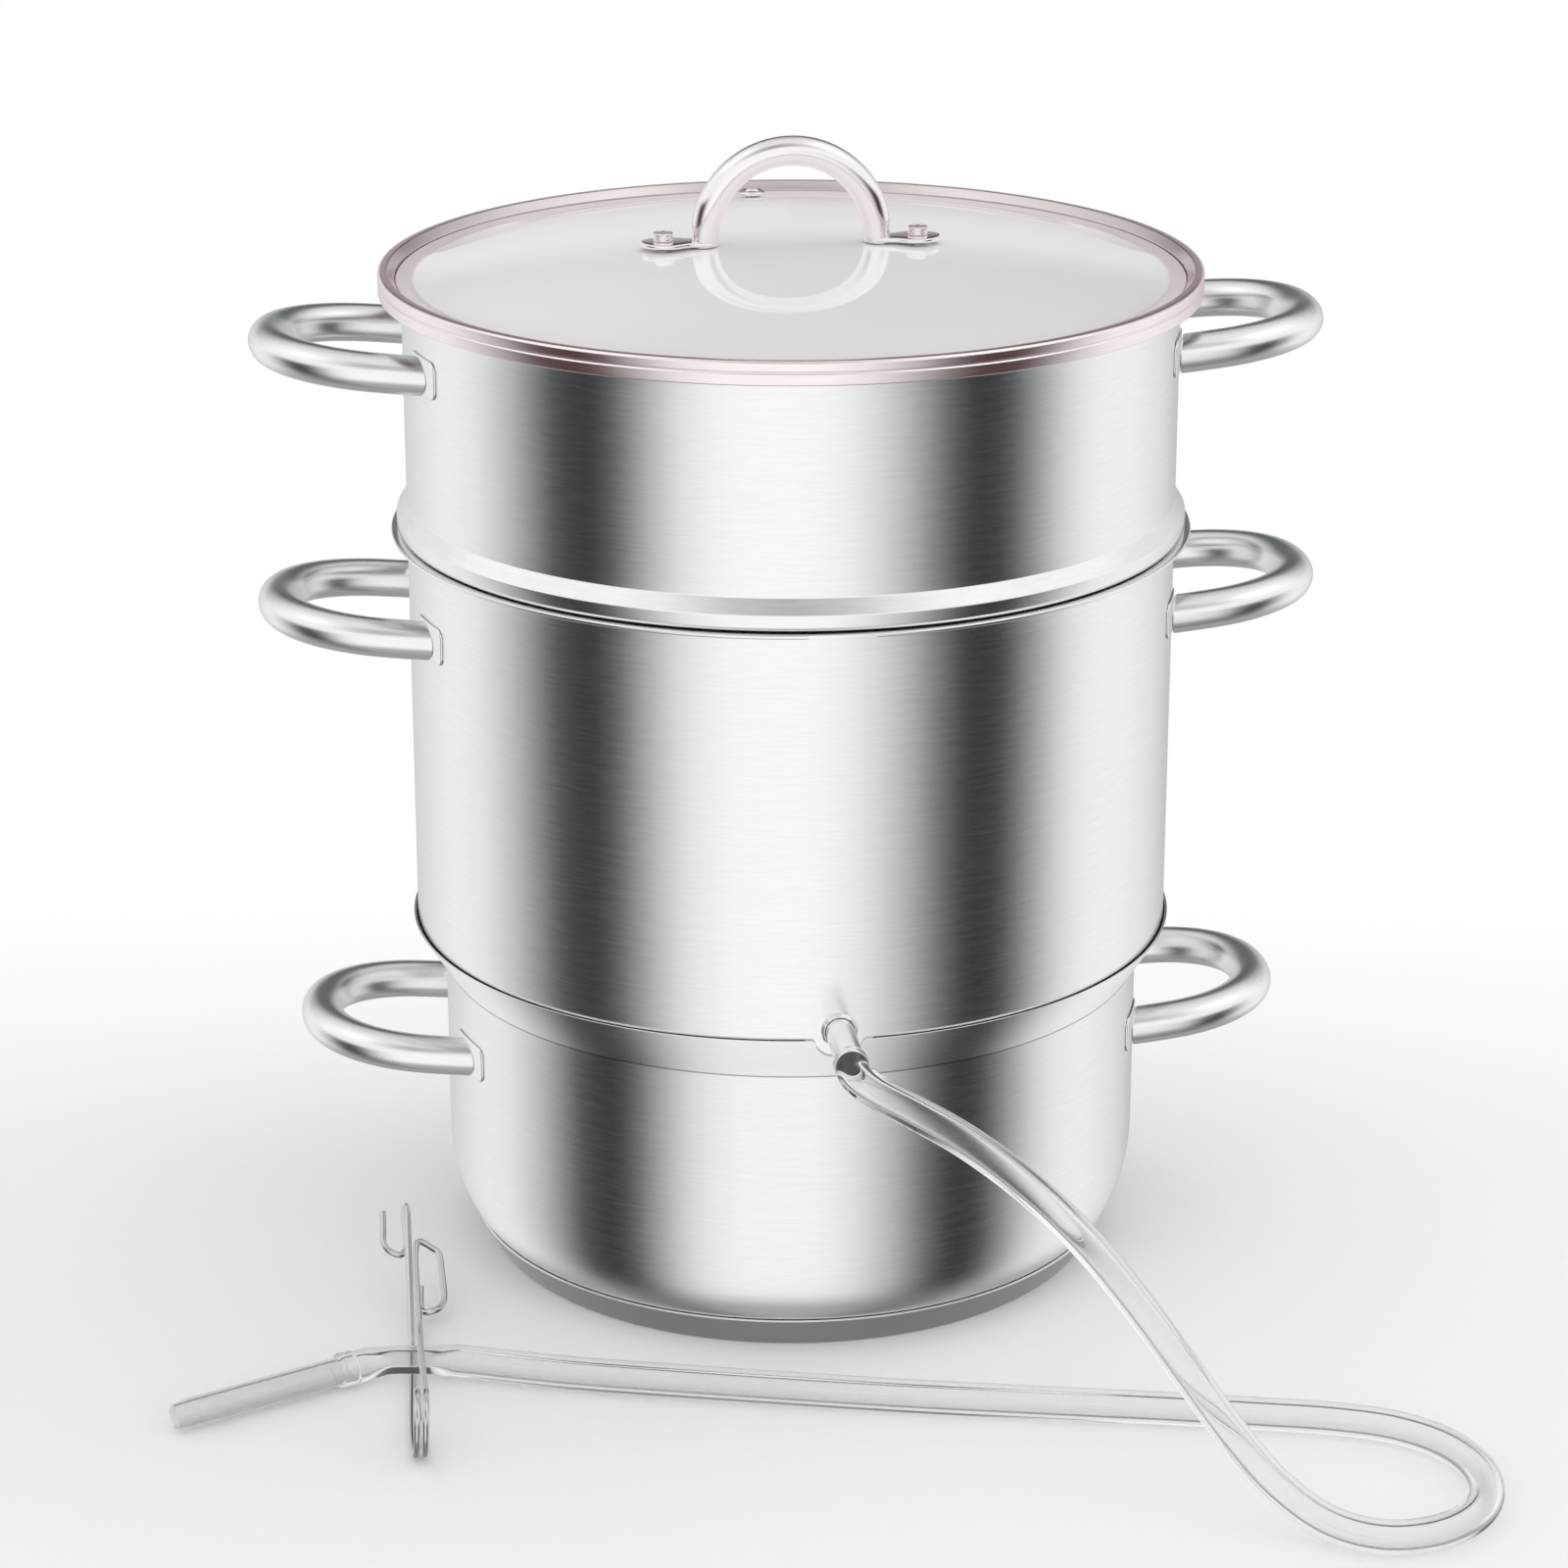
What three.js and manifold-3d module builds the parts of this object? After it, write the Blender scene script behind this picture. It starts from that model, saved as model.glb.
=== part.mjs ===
// A three-tier steam juicer: water pan, juice kettle, fruit basket and glass lid,
// with the drain hose, its wire pinch clamp and the filling nozzle.
// Millimetres, Z up. The origin is the middle of the base's flat underside,
// the spout points to -Y and the side handles to -X and +X.

import * as THREE from 'three';
import { mergeVertices } from 'three/addons/utils/BufferGeometryUtils.js';
import Module from 'manifold-3d';

const wasm = await Module();
wasm.setup();

// Sizes that every tier shares
const potWallRadius = 131;
const sheet = 1;
const fitGap = 0.3;
const nestGap = 0.5;
const overrun = 4;
const ringSides = 44;

// Water pan
const panWallInset = 9.5;
const panRimReach = 1.6;
const panHeight = 121.3;
const panFlareHeight = 17;
const panCornerWidth = 18.5;
const panCornerHeight = 35.2;
const panCornerSteps = 5;
const capSheet = 1;
const capHeight = 11.5;
const capFlare = 6;
const capFootBevel = 1;
const coreThickness = 5.2;
const notchRadius = 8;
const notchSides = 20;

// Juice kettle
const kettleRise = 139.4;
const kettleLipReach = 5.5;
const kettleLipThickness = 1.3;
const kettleSeatDrop = 8.5;
const kettleFloorBevel = 2;
const kettleFloorRise = 2.5;
const kettleFloorHole = 40;

// Steam chimney
const chimneyFlange = 54;
const chimneyFootRadius = 37;
const chimneyTopRadius = 20;
const chimneyHeight = 82;
const chimneyFootBend = 5;
const chimneySides = 28;
const chimneyBead = 2;

// Spout
const spoutRadius = 4.75;
const spoutWall = 0.7;
const spoutReach = 29;
const spoutInset = 3;
const spoutHeightAboveRim = 2.9;
const spoutSides = 16;
const collarRadius = 6.25;
const collarDepth = 2.4;

// Fruit basket
const basketRise = 83;
const beadReach = 5.2;
const beadHeight = 6.3;
const beadRound = 1.2;
const shoulderHeight = 4.2;
const skirtDepth = 46;
const skirtCorner = 10;
const skirtCornerSteps = 3;
const ledgeWidth = 9;
const rimRollReach = 3.2;
const rimRollHeight = 3;
const rimRollRound = 0.8;

// Strainer floor
const strainerSheet = 1.2;
const strainerDomeRadius = 40;
const strainerDomeRise = 6;
const strainerDomeRun = 14;
const strainerDomeSteps = 3;
const perforationRadius = 2.6;
const perforationSides = 6;
const perforationRingStep = 14;
const perforationRings = 4;
const perforationFirstRing = 62;
const perforationSpacing = 34;

// Side handles
const legSpacing = 71.6;
const handleReach = 44;
const handleLegRun = 3.4;
const handleSquareness = 2.19;
const handleWidth = 14.6;
const handleHeight = 13;
const handleRise = 0.1;
const handleSteps = 20;
const handleSides = 10;
const handleCurvePoints = 12;
const basketHandleDrop = 20.5;
const kettleHandleDrop = 28;
const panHandleDrop = 39.3;
const weldSeatWidth = 24;
const weldSeatHeight = 15;
const weldSeatThickness = 1.6;
const weldSeatCorner = 3;
const weldSeatLift = 1.5;

// Lid
const lidReach = 7.6;
const lidSkirtOverlap = 2.3;
const lidBandHeight = 7.8;
const lidBandStep = 4.1;
const lidBandGroove = 0.5;
const lidLipRound = 1;
const lidSheet = 1.1;
const trayInset = 9.2;
const trayTop = 3.6;
const trayLedge = 5.5;
const glassThickness = 3.8;
const glassRise = 10.8;
const glassSteps = 5;

// Lid handle and its fixings
const archLegRadius = 29;
const archTubeRadius = 5;
const archHeight = 36.4;
const archLegBury = 0.9;
const archSteps = 20;
const archSides = 10;
const earCentre = 43;
const earRadius = 7.4;
const earThickness = 2;
const earSides = 20;
const screwHeadRadius = 3.4;
const screwHeadHeight = 2.8;
const screwShankRadius = 2;
const screwHoleClearance = 0.5;
const screwLength = 10;
const screwSides = 14;
const washerRadius = 7;
const washerThickness = 1.5;
const nutRadius = 5;
const nutHeight = 6.5;
const nutSides = 6;
const nutCapWall = 1.5;

// Steam vent
const ventInset = 12.4;
const ventFlangeRadius = 4.9;
const ventFlangeHeight = 1.3;
const ventBarrelRadius = 3.4;
const ventBoreRadius = 2.3;
const ventSides = 16;

// Drain hose: outside diameter, and the route of its middle line. Each place is its x,
// its distance in front of the spout's mouth and its share of the spout's height
const hoseRadius = 5.5;
const hoseSides = 10;
const hoseRunSteps = 56;
const hoseTailSteps = 3;
const pinchWidth = 12.8;
const pinchThickness = 7.2;
const pinchLength = 12.8;
const hoseRoute = [
  [0, 0.4, 1], [0, 7.4, 1], [4.4, 20, 0.9958], [15, 32, 0.9756], [31, 42, 0.9141],
  [48.5, 50.2, 0.8113], [65.5, 58.4, 0.6782], [81, 67.4, 0.5223], [95, 77, 0.3623], [108, 87.2, 0.2148],
  [121, 97.4, 0.0986], [135, 106.2, 0.0278], [150.5, 111.8, 0.0025], [167.5, 111, 0], [182, 102, 0],
  [190.6, 87.4, 0], [191.8, 70, 0], [185.4, 53.4, 0], [172.6, 40.8, 0], [155, 32.8, 0],
  [130, 26, 0], [104, 19.5, 0], [61, 9.6, 0], [20, 0, 0], [-18.8, -10.2, 0],
  [-55, -20.2, 0], [-90, -30.4, 0], [-110, -37.4, 0.0008], [-123, -41.6, 0.0034], [-129.5, -43, 0.0051],
];

// The hose where the clamp holds it, in the clamp's frame: x, y and height
const hosePinchStart = [5.3, 55, 6.2];
const hosePinchEnd = [-7.5, 56.4, 6.2];
const hoseTail = [[-8.1, 56.5, 6], [-11.1, 56.5, 5.9], [-15.5, 55.5, 5.7], [-19.6, 53.7, 5.6]];

// Filling nozzle in the hose's far end
const nozzleCollarRadius = 5.8;
const nozzleCollarLength = 6;
const nozzleTubeRadius = 4.7;
const nozzleBoreRadius = 3.3;
const nozzleLength = 66;
const nozzleTipRadius = 4.1;
const nozzleSides = 14;
const nozzleHeading = THREE.MathUtils.degToRad(206);

// Pinch clamp: one spring wire, parted where the coil meets the upper arm so that
// the arm can swing open by clampOpening
const wireRadius = 1.1;
const wireSides = 6;
const clampPlaneX = -141;
const clampCoilAhead = 11.3;
const coilRadius = 10.2;
const coilPitch = 2.8;
const coilTurns = 1.5;
const coilStepsPerTurn = 10;
const armSpacing = 2.8;
const jawReach = 58.5;
const lowerArmLift = 73;
const padReach = 118;
const padRise = 34.5;
const padLength = 17;
const padWidth = 6.4;
const loopStart = 87;
const loopReach = 124;
const loopRise = 17;
const loopLength = 27;
const loopWidth = 9.6;
const wireStep = 4.6;
const clampOpening = THREE.MathUtils.degToRad(8);

// Radii that follow from the pot's
const panWallRadius = potWallRadius - panWallInset;
const panRimRadius = potWallRadius + panRimReach;
const lidRadius = potWallRadius + lidReach;
const trayRadius = lidRadius - trayInset;
const ventCentre = trayRadius - ventInset;

// Heights that follow from the sizes above
const coreBottom = capSheet + fitGap;
const panBottom = coreBottom + coreThickness + fitGap;
const panFlareBottom = panHeight - panFlareHeight;
const kettleTop = panHeight + kettleRise;
const basketBottom = kettleTop + fitGap;
const basketTop = basketBottom + basketRise;
const spoutHeight = panHeight + spoutHeightAboveRim;
const spoutMouth = potWallRadius + spoutReach;
const lidBottom = basketTop - lidSkirtOverlap;
const lidTop = lidBottom + lidBandHeight;
const glassEdgeTop = lidBottom + trayTop;
const trayBottom = glassEdgeTop - glassThickness - fitGap - lidSheet;
const glassRadius = trayRadius - lidSheet - fitGap;
const domeRadius = (glassRadius ** 2 + glassRise ** 2) / (2 * glassRise);

// Finishes
function metal(colour, roughness) {
  return new THREE.MeshStandardMaterial({ color: colour, roughness, metalness: 1 });
}
const brushedSteel = () => metal(0xd4d7d7, 0.32);
const polishedSteel = () => metal(0xdfe1e1, 0.15);
const lidSteel = () => metal(0xd6c6c5, 0.28);
const aluminium = () => metal(0xc4c6c8, 0.5);
const clearGlass = () => new THREE.MeshStandardMaterial({ color: 0xe2e0e0, roughness: 0.05, metalness: 0 });
const silicone = () => new THREE.MeshStandardMaterial({ color: 0xe8ecec, roughness: 0.35, metalness: 0 });
const rubber = () => new THREE.MeshStandardMaterial({ color: 0xb9b9b6, roughness: 0.7, metalness: 0 });

// Small geometry helpers
const turn = Math.PI * 2;
const quarter = Math.PI / 2;

function signedVolume(geometry) {
  const position = geometry.getAttribute('position');
  const index = geometry.getIndex();
  const count = index ? index.count : position.count;
  const corner = [new THREE.Vector3(), new THREE.Vector3(), new THREE.Vector3()];
  let volume = 0;
  for (let i = 0; i < count; i += 3) {
    for (let k = 0; k < 3; k += 1) corner[k].fromBufferAttribute(position, index ? index.getX(i + k) : i + k);
    volume += corner[0].dot(corner[1].clone().cross(corner[2]));
  }
  return volume;
}

// Merged vertices, and faces that point outwards
function clean(geometry) {
  const bare = geometry.clone();
  bare.deleteAttribute('normal');
  bare.deleteAttribute('uv');
  const merged = mergeVertices(bare);
  if (signedVolume(merged) < 0) {
    const index = merged.getIndex();
    for (let i = 0; i < index.count; i += 3) {
      const swap = index.getX(i);
      index.setX(i, index.getX(i + 2));
      index.setX(i + 2, swap);
    }
  }
  return merged;
}

function toSolid(geometry) {
  const merged = clean(geometry);
  const vertProperties = new Float32Array(merged.getAttribute('position').array);
  const triVerts = new Uint32Array(merged.getIndex().array);
  return new wasm.Manifold(new wasm.Mesh({ numProp: 3, vertProperties, triVerts }));
}

function fromSolid(solid) {
  const mesh = solid.getMesh();
  const geometry = new THREE.BufferGeometry();
  geometry.setAttribute('position', new THREE.BufferAttribute(new Float32Array(mesh.vertProperties), 3));
  geometry.setIndex(new THREE.BufferAttribute(new Uint32Array(mesh.triVerts), 1));
  return geometry;
}

function cut(geometry, ...cutters) {
  let solid = toSolid(geometry);
  for (const cutter of cutters) solid = solid.subtract(toSolid(cutter));
  return fromSolid(solid);
}

function join(...geometries) {
  let solid = toSolid(geometries[0]);
  for (const geometry of geometries.slice(1)) solid = solid.add(toSolid(geometry));
  return fromSolid(solid);
}

function overlap(geometry, other) {
  return fromSolid(toSolid(geometry).intersect(toSolid(other)));
}

// A solid of revolution about Z; the outline is a list of [radius, height]
function lathe(outline, sides = ringSides) {
  const points = outline.map(([radius, height]) => new THREE.Vector2(radius, height));
  const onAxis = outline[0][0] === 0 && outline[outline.length - 1][0] === 0;
  if (!onAxis) points.push(points[0].clone());
  return clean(new THREE.LatheGeometry(points, sides).rotateX(quarter));
}

function disc(radius, bottom, top, sides = ringSides) {
  return lathe([[0, bottom], [radius, bottom], [radius, top], [0, top]], sides);
}

function ring(inner, outer, bottom, top, sides = ringSides) {
  return lathe([[inner, bottom], [outer, bottom], [outer, top], [inner, top]], sides);
}

// An arc of an ellipse in an outline, from one angle to another
function arcLine(centre, radii, from, to, steps) {
  const points = [];
  for (let i = 0; i <= steps; i += 1) {
    const angle = from + (to - from) * (i / steps);
    points.push([centre[0] + radii[0] * Math.cos(angle), centre[1] + radii[1] * Math.sin(angle)]);
  }
  return points;
}

// The same line moved sideways by a distance, with mitred corners
function offsetLine(line, distance) {
  const moved = [];
  for (let i = 0; i < line.length; i += 1) {
    const before = line[Math.max(i - 1, 0)];
    const here = line[i];
    const after = line[Math.min(i + 1, line.length - 1)];
    const into = new THREE.Vector2(here[0] - before[0], here[1] - before[1]).normalize();
    const out = new THREE.Vector2(after[0] - here[0], after[1] - here[1]).normalize();
    if (i === 0) into.copy(out);
    if (i === line.length - 1) out.copy(into);
    const side = new THREE.Vector2(-into.y - out.y, into.x + out.x).normalize();
    const stretch = distance / Math.max(side.dot(new THREE.Vector2(-into.y, into.x)), 0.5);
    moved.push([here[0] + side.x * stretch, here[1] + side.y * stretch]);
  }
  return moved;
}

// The closed outline of a sheet that lies to the left of the line
function sheetOutline(line, thickness) {
  return [...line, ...offsetLine(line, thickness).reverse()];
}

function ovalShape(halfWidth, halfHeight, sides) {
  const points = [];
  for (let i = 0; i < sides; i += 1) {
    const angle = (turn * (i + 0.5)) / sides;
    points.push(new THREE.Vector2(halfWidth * Math.cos(angle), halfHeight * Math.sin(angle)));
  }
  return new THREE.Shape(points);
}

function sweep(shape, curve, steps) {
  return clean(new THREE.ExtrudeGeometry(shape, { steps, bevelEnabled: false, extrudePath: curve }));
}

function smoothCurve(points) {
  const places = points.map(([x, y, z]) => new THREE.Vector3(x, y, z));
  return new THREE.CatmullRomCurve3(places, false, 'centripetal');
}

function block(shape, depth) {
  return clean(new THREE.ExtrudeGeometry(shape, { depth, bevelEnabled: false }));
}

// A rounded rectangle about the origin, with one chamfer-like step per corner
function roundedShape(width, height, corner) {
  const x = width / 2;
  const y = height / 2;
  const inX = x - corner;
  const inY = y - corner;
  const shortShare = 0.3;
  const cutX = x - corner * shortShare;
  const cutY = y - corner * shortShare;
  const quadrant = [[x, inY], [cutX, cutY], [inX, y]];
  const points = [];
  for (const [px, py] of quadrant) points.push([px, py]);
  for (const [px, py] of [...quadrant].reverse()) points.push([-px, py]);
  for (const [px, py] of quadrant) points.push([-px, -py]);
  for (const [px, py] of [...quadrant].reverse()) points.push([px, -py]);
  return new THREE.Shape(points.map(([px, py]) => new THREE.Vector2(px, py)));
}

// A round bar along Y, between two places
function barAlongY(radius, fromY, toY, height, sides) {
  const bar = disc(radius, fromY, toY, sides).rotateX(-quarter);
  return clean(bar.translate(0, 0, height));
}

const juicer = new THREE.Group();
const waterPan = new THREE.Group();
const juiceKettle = new THREE.Group();
const fruitBasket = new THREE.Group();
const lid = new THREE.Group();
juicer.add(waterPan, juiceKettle, fruitBasket, lid);

function addPiece(parent, name, geometry, material) {
  const mesh = new THREE.Mesh(geometry, material);
  mesh.name = name;
  parent.add(mesh);
  return mesh;
}

// Water pan
function panLine() {
  const cornerCentre = [panWallRadius - panCornerWidth, panBottom + panCornerHeight];
  return [
    [0, panBottom],
    ...arcLine(cornerCentre, [panCornerWidth, panCornerHeight], -quarter, 0, panCornerSteps),
    [panWallRadius, panFlareBottom],
    [panRimRadius, panHeight],
  ];
}

function makePanShell() {
  const line = panLine();
  const inner = offsetLine(line, sheet).reverse();
  inner[0] = [inner[0][0], panHeight];
  inner[inner.length - 1] = [0, panBottom + sheet];
  const notchFrom = -panRimRadius - overrun;
  const notchTo = -panWallRadius + panFlareHeight;
  const notch = barAlongY(notchRadius, notchFrom, notchTo, panHeight, notchSides);
  return cut(lathe([...line, ...inner]), notch);
}

function makeBaseCap() {
  const cornerRise = capHeight - panBottom;
  const cornerShare = Math.sqrt(1 - (1 - cornerRise / panCornerHeight) ** 2);
  const seamRadius = panWallRadius - panCornerWidth + panCornerWidth * cornerShare + fitGap;
  const outerRadius = seamRadius + capSheet;
  const footRadius = outerRadius - capFlare;
  return lathe([
    [0, 0],
    [footRadius - capFootBevel, 0],
    [footRadius, capFootBevel],
    [outerRadius, capHeight],
    [seamRadius, capHeight],
    [footRadius - capSheet, capSheet],
    [0, capSheet],
  ]);
}

addPiece(waterPan, 'pan_shell', makePanShell(), brushedSteel());
addPiece(waterPan, 'base_cap', makeBaseCap(), brushedSteel());
const coreRadius = panWallRadius - panCornerWidth;
addPiece(waterPan, 'base_core', disc(coreRadius, coreBottom, coreBottom + coreThickness), aluminium());

// Juice kettle: its lower edge is a cone that lies on the pan's flare
const flareSlope = (panRimRadius - panWallRadius) / panFlareHeight;
const flareLean = Math.hypot(1, flareSlope);

function seatRadius(height) {
  return panWallRadius + (height - panFlareBottom) * flareSlope - (sheet + fitGap) * flareLean;
}

const seatTop = panFlareBottom + (potWallRadius - seatRadius(panFlareBottom)) / flareSlope;
const seatBottom = seatTop - kettleSeatDrop;
const kettleFloorEdge = seatBottom - kettleFloorBevel / 2;
const kettleFloorMiddle = kettleFloorEdge + kettleFloorRise;

function makeKettleShell() {
  const floorEdgeRadius = seatRadius(seatBottom) - kettleFloorBevel;
  const line = [
    [kettleFloorHole, kettleFloorMiddle],
    [floorEdgeRadius, kettleFloorEdge],
    [seatRadius(seatBottom), seatBottom],
    [potWallRadius, seatTop],
    [potWallRadius, kettleTop - kettleLipThickness],
  ];
  const inner = offsetLine(line, sheet).reverse();
  inner[0] = [potWallRadius - sheet, kettleTop];
  const lip = [
    [potWallRadius + kettleLipReach, kettleTop - kettleLipThickness],
    [potWallRadius + kettleLipReach, kettleTop],
  ];
  const spoutHole = barAlongY(
    spoutRadius + fitGap, -potWallRadius - overrun, -potWallRadius + overrun * 2, spoutHeight, spoutSides);
  return cut(lathe([...line, ...lip, ...inner]), spoutHole);
}

addPiece(juiceKettle, 'kettle_shell', makeKettleShell(), brushedSteel());

// Steam chimney, a cone on a flange that is welded round the hole in the floor
const floorSlope = kettleFloorRise / (seatRadius(seatBottom) - kettleFloorBevel - kettleFloorHole);
const chimneyBottom = kettleFloorMiddle + sheet + fitGap;
const chimneyTop = chimneyBottom + chimneyHeight;

function makeChimney() {
  const flangeDrop = (chimneyFlange - kettleFloorHole) * floorSlope;
  const bendSize = [chimneyFootBend, chimneyFootBend];
  const bendCentre = [chimneyFootRadius + chimneyFootBend, chimneyBottom + sheet + chimneyFootBend];
  const line = [
    [chimneyFlange, chimneyBottom + sheet - flangeDrop],
    [kettleFloorHole + chimneyFootBend, chimneyBottom + sheet],
    ...arcLine(bendCentre, bendSize, -quarter, -Math.PI, 3).slice(1),
    [chimneyTopRadius, chimneyTop - chimneyBead],
    [chimneyTopRadius + chimneyBead / 2, chimneyTop - chimneyBead / 2],
    [chimneyTopRadius, chimneyTop],
  ];
  return lathe(sheetOutline(line, sheet), chimneySides);
}

addPiece(juiceKettle, 'steam_chimney', makeChimney(), brushedSteel());

// Spout and the weld collar round it
function makeSpout() {
  const from = -spoutMouth;
  const to = -potWallRadius + spoutInset;
  const bore = barAlongY(spoutRadius - spoutWall, from - overrun, to + overrun, spoutHeight, spoutSides);
  return cut(barAlongY(spoutRadius, from, to, spoutHeight, spoutSides), bore);
}

function makeCollar() {
  const from = -potWallRadius - collarDepth;
  const bar = barAlongY(collarRadius, from, -potWallRadius + overrun, spoutHeight, spoutSides);
  const holeTo = -potWallRadius + overrun * 2;
  const hole = barAlongY(spoutRadius + fitGap, from - overrun, holeTo, spoutHeight, spoutSides);
  const seatEdge = seatRadius(seatBottom) + fitGap;
  const potOutside = lathe([
    [0, seatBottom - overrun],
    [seatEdge, seatBottom - overrun],
    [seatEdge, seatBottom],
    [potWallRadius + fitGap, seatTop],
    [potWallRadius + fitGap, kettleTop],
    [0, kettleTop],
  ]);
  return cut(bar, hole, potOutside);
}

addPiece(juiceKettle, 'spout_tube', makeSpout(), polishedSteel());
addPiece(juiceKettle, 'spout_collar', makeCollar(), polishedSteel());

// Fruit basket: wall, shoulder, bead, the skirt that hangs in the kettle and its ledge
const skirtRadius = potWallRadius - sheet - nestGap;
const skirtBottom = basketBottom - skirtDepth;

function makeBasketShell() {
  const beadOut = potWallRadius + beadReach;
  const cornerCentre = [skirtRadius - skirtCorner, skirtBottom + skirtCorner];
  const beadTop = basketBottom + beadHeight;
  const outer = [
    [skirtRadius - skirtCorner - ledgeWidth, skirtBottom],
    ...arcLine(cornerCentre, [skirtCorner, skirtCorner], -quarter, 0, skirtCornerSteps),
    [skirtRadius, basketBottom],
    [beadOut - beadRound, basketBottom],
    [beadOut, basketBottom + beadRound],
    [beadOut, beadTop - beadRound],
    [beadOut - beadRound / 2, beadTop],
    [potWallRadius, beadTop + shoulderHeight],
    [potWallRadius, basketTop],
  ];
  const inner = offsetLine(outer, sheet).reverse();
  const rollOut = potWallRadius + rimRollReach;
  const roll = [
    [potWallRadius, basketTop - rimRollHeight],
    [rollOut - rimRollRound, basketTop - rimRollHeight],
    [rollOut, basketTop - rimRollHeight + rimRollRound],
    [rollOut, basketTop - rimRollRound],
    [rollOut - rimRollRound, basketTop],
  ];
  return lathe([...outer.slice(0, -1), ...roll, ...inner]);
}

addPiece(fruitBasket, 'basket_shell', makeBasketShell(), brushedSteel());

// Strainer floor: a perforated plate with a plain dome over the chimney
const strainerBottom = skirtBottom + sheet + fitGap;
const strainerRadius = skirtRadius - skirtCorner - fitGap;

function makeStrainer() {
  const flat = strainerDomeRadius + strainerDomeRun;
  const dome = [];
  for (let i = 0; i <= strainerDomeSteps; i += 1) {
    const share = i / strainerDomeSteps;
    const fall = (1 - Math.cos(share * Math.PI)) / 2;
    dome.push([strainerDomeRadius + strainerDomeRun * share, strainerBottom + strainerDomeRise * (1 - fall)]);
  }
  const under = [[0, strainerBottom + strainerDomeRise], ...dome, [strainerRadius, strainerBottom]];
  const over = under.map(([radius, height]) => [radius, height + strainerSheet]).reverse();
  const cutters = [];
  for (let k = 0; k < perforationRings; k += 1) {
    const ringRadius = perforationFirstRing + perforationRingStep * k;
    const count = Math.max(6, Math.round((turn * ringRadius) / perforationSpacing));
    for (let i = 0; i < count; i += 1) {
      const angle = (turn * (i + (k % 2) / 2)) / count;
      const x = ringRadius * Math.cos(angle);
      const y = ringRadius * Math.sin(angle);
      const fits = ringRadius - perforationRadius > flat && ringRadius + perforationRadius < strainerRadius;
      const low = strainerBottom - overrun;
      const hole = disc(perforationRadius, low, strainerBottom + overrun, perforationSides);
      if (fits) cutters.push(hole.translate(x, y, 0));
    }
  }
  return cut(lathe([...under, ...over]), ...cutters);
}

addPiece(fruitBasket, 'strainer_floor', makeStrainer(), brushedSteel());

// Side handles: a tube loop that rises a little outwards, cut to its two weld seats
function makeLoopHandle(wall) {
  const halfSpan = legSpacing / 2;
  const footX = Math.sqrt(wall ** 2 - halfSpan ** 2) - overrun;
  const bendX = wall + handleLegRun;
  const depth = handleReach - handleLegRun;
  const points = [[footX, -halfSpan], [bendX, -halfSpan]];
  for (let i = 1; i < handleCurvePoints; i += 1) {
    const angle = -quarter + (Math.PI * i) / handleCurvePoints;
    const out = Math.cos(angle) ** (2 / handleSquareness);
    const along = Math.sign(angle) * Math.abs(Math.sin(angle)) ** (2 / handleSquareness);
    points.push([bendX + depth * out, halfSpan * along]);
  }
  points.push([bendX, halfSpan], [footX, halfSpan]);
  const curve = smoothCurve(points.map(([x, y]) => [x, y, (x - wall) * handleRise]));
  const tube = sweep(ovalShape(handleWidth / 2, handleHeight / 2, handleSides), curve, handleSteps);
  const seatFace = wall + fitGap + weldSeatThickness + fitGap;
  return cut(tube, disc(seatFace, -handleHeight * 2, handleHeight * 2));
}

function makeWeldSeat(wall, side) {
  const shape = roundedShape(weldSeatHeight, weldSeatWidth, weldSeatCorner);
  const slab = block(shape, wall).rotateY(quarter).translate(wall / 2, side * (legSpacing / 2), weldSeatLift);
  const inner = wall + fitGap;
  const band = ring(inner, inner + weldSeatThickness, -weldSeatHeight, weldSeatHeight * 2);
  return overlap(slab, band);
}

function addHandlePair(parent, tier, wall, height) {
  for (const [side, heading] of [['right', 0], ['left', Math.PI]]) {
    const pair = new THREE.Group();
    pair.position.z = height;
    pair.rotation.z = heading;
    parent.add(pair);
    addPiece(pair, `${tier}_handle_${side}`, makeLoopHandle(wall), brushedSteel());
    for (const [end, direction] of [['a', -1], ['b', 1]]) {
      addPiece(pair, `${tier}_weld_seat_${side}_${end}`, makeWeldSeat(wall, direction), polishedSteel());
    }
  }
}

addHandlePair(waterPan, 'pan', panWallRadius, panHeight - panHandleDrop);
addHandlePair(juiceKettle, 'kettle', potWallRadius, kettleTop - kettleHandleDrop);
addHandlePair(fruitBasket, 'basket', potWallRadius, basketTop - basketHandleDrop);

// Lid: the steel band, its lip and the tray that holds the glass
function glassTopAt(radius) {
  return glassEdgeTop + glassRise - domeRadius + Math.sqrt(domeRadius ** 2 - radius ** 2);
}

function makeLidRim() {
  const grooveHeight = lidBottom + lidBandStep;
  const grooveHalf = lidBandGroove;
  const line = [
    [trayRadius - trayLedge, trayBottom],
    [trayRadius, trayBottom],
    [trayRadius, glassEdgeTop - lidSheet / 2],
    [lidRadius - lidSheet, lidTop - lidSheet - lidLipRound],
    [lidRadius - lidSheet, lidBottom],
    [lidRadius, lidBottom],
    [lidRadius, grooveHeight - grooveHalf],
    [lidRadius - lidBandGroove, grooveHeight],
    [lidRadius, grooveHeight + grooveHalf],
    [lidRadius, lidTop - lidLipRound],
    [lidRadius - lidLipRound / 2, lidTop],
    [lidRadius - lidLipRound * 2, lidTop],
    [trayRadius - lidSheet, glassEdgeTop],
    [trayRadius - lidSheet, trayBottom + lidSheet],
    [trayRadius - trayLedge, trayBottom + lidSheet],
  ];
  return lathe(line);
}

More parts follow.
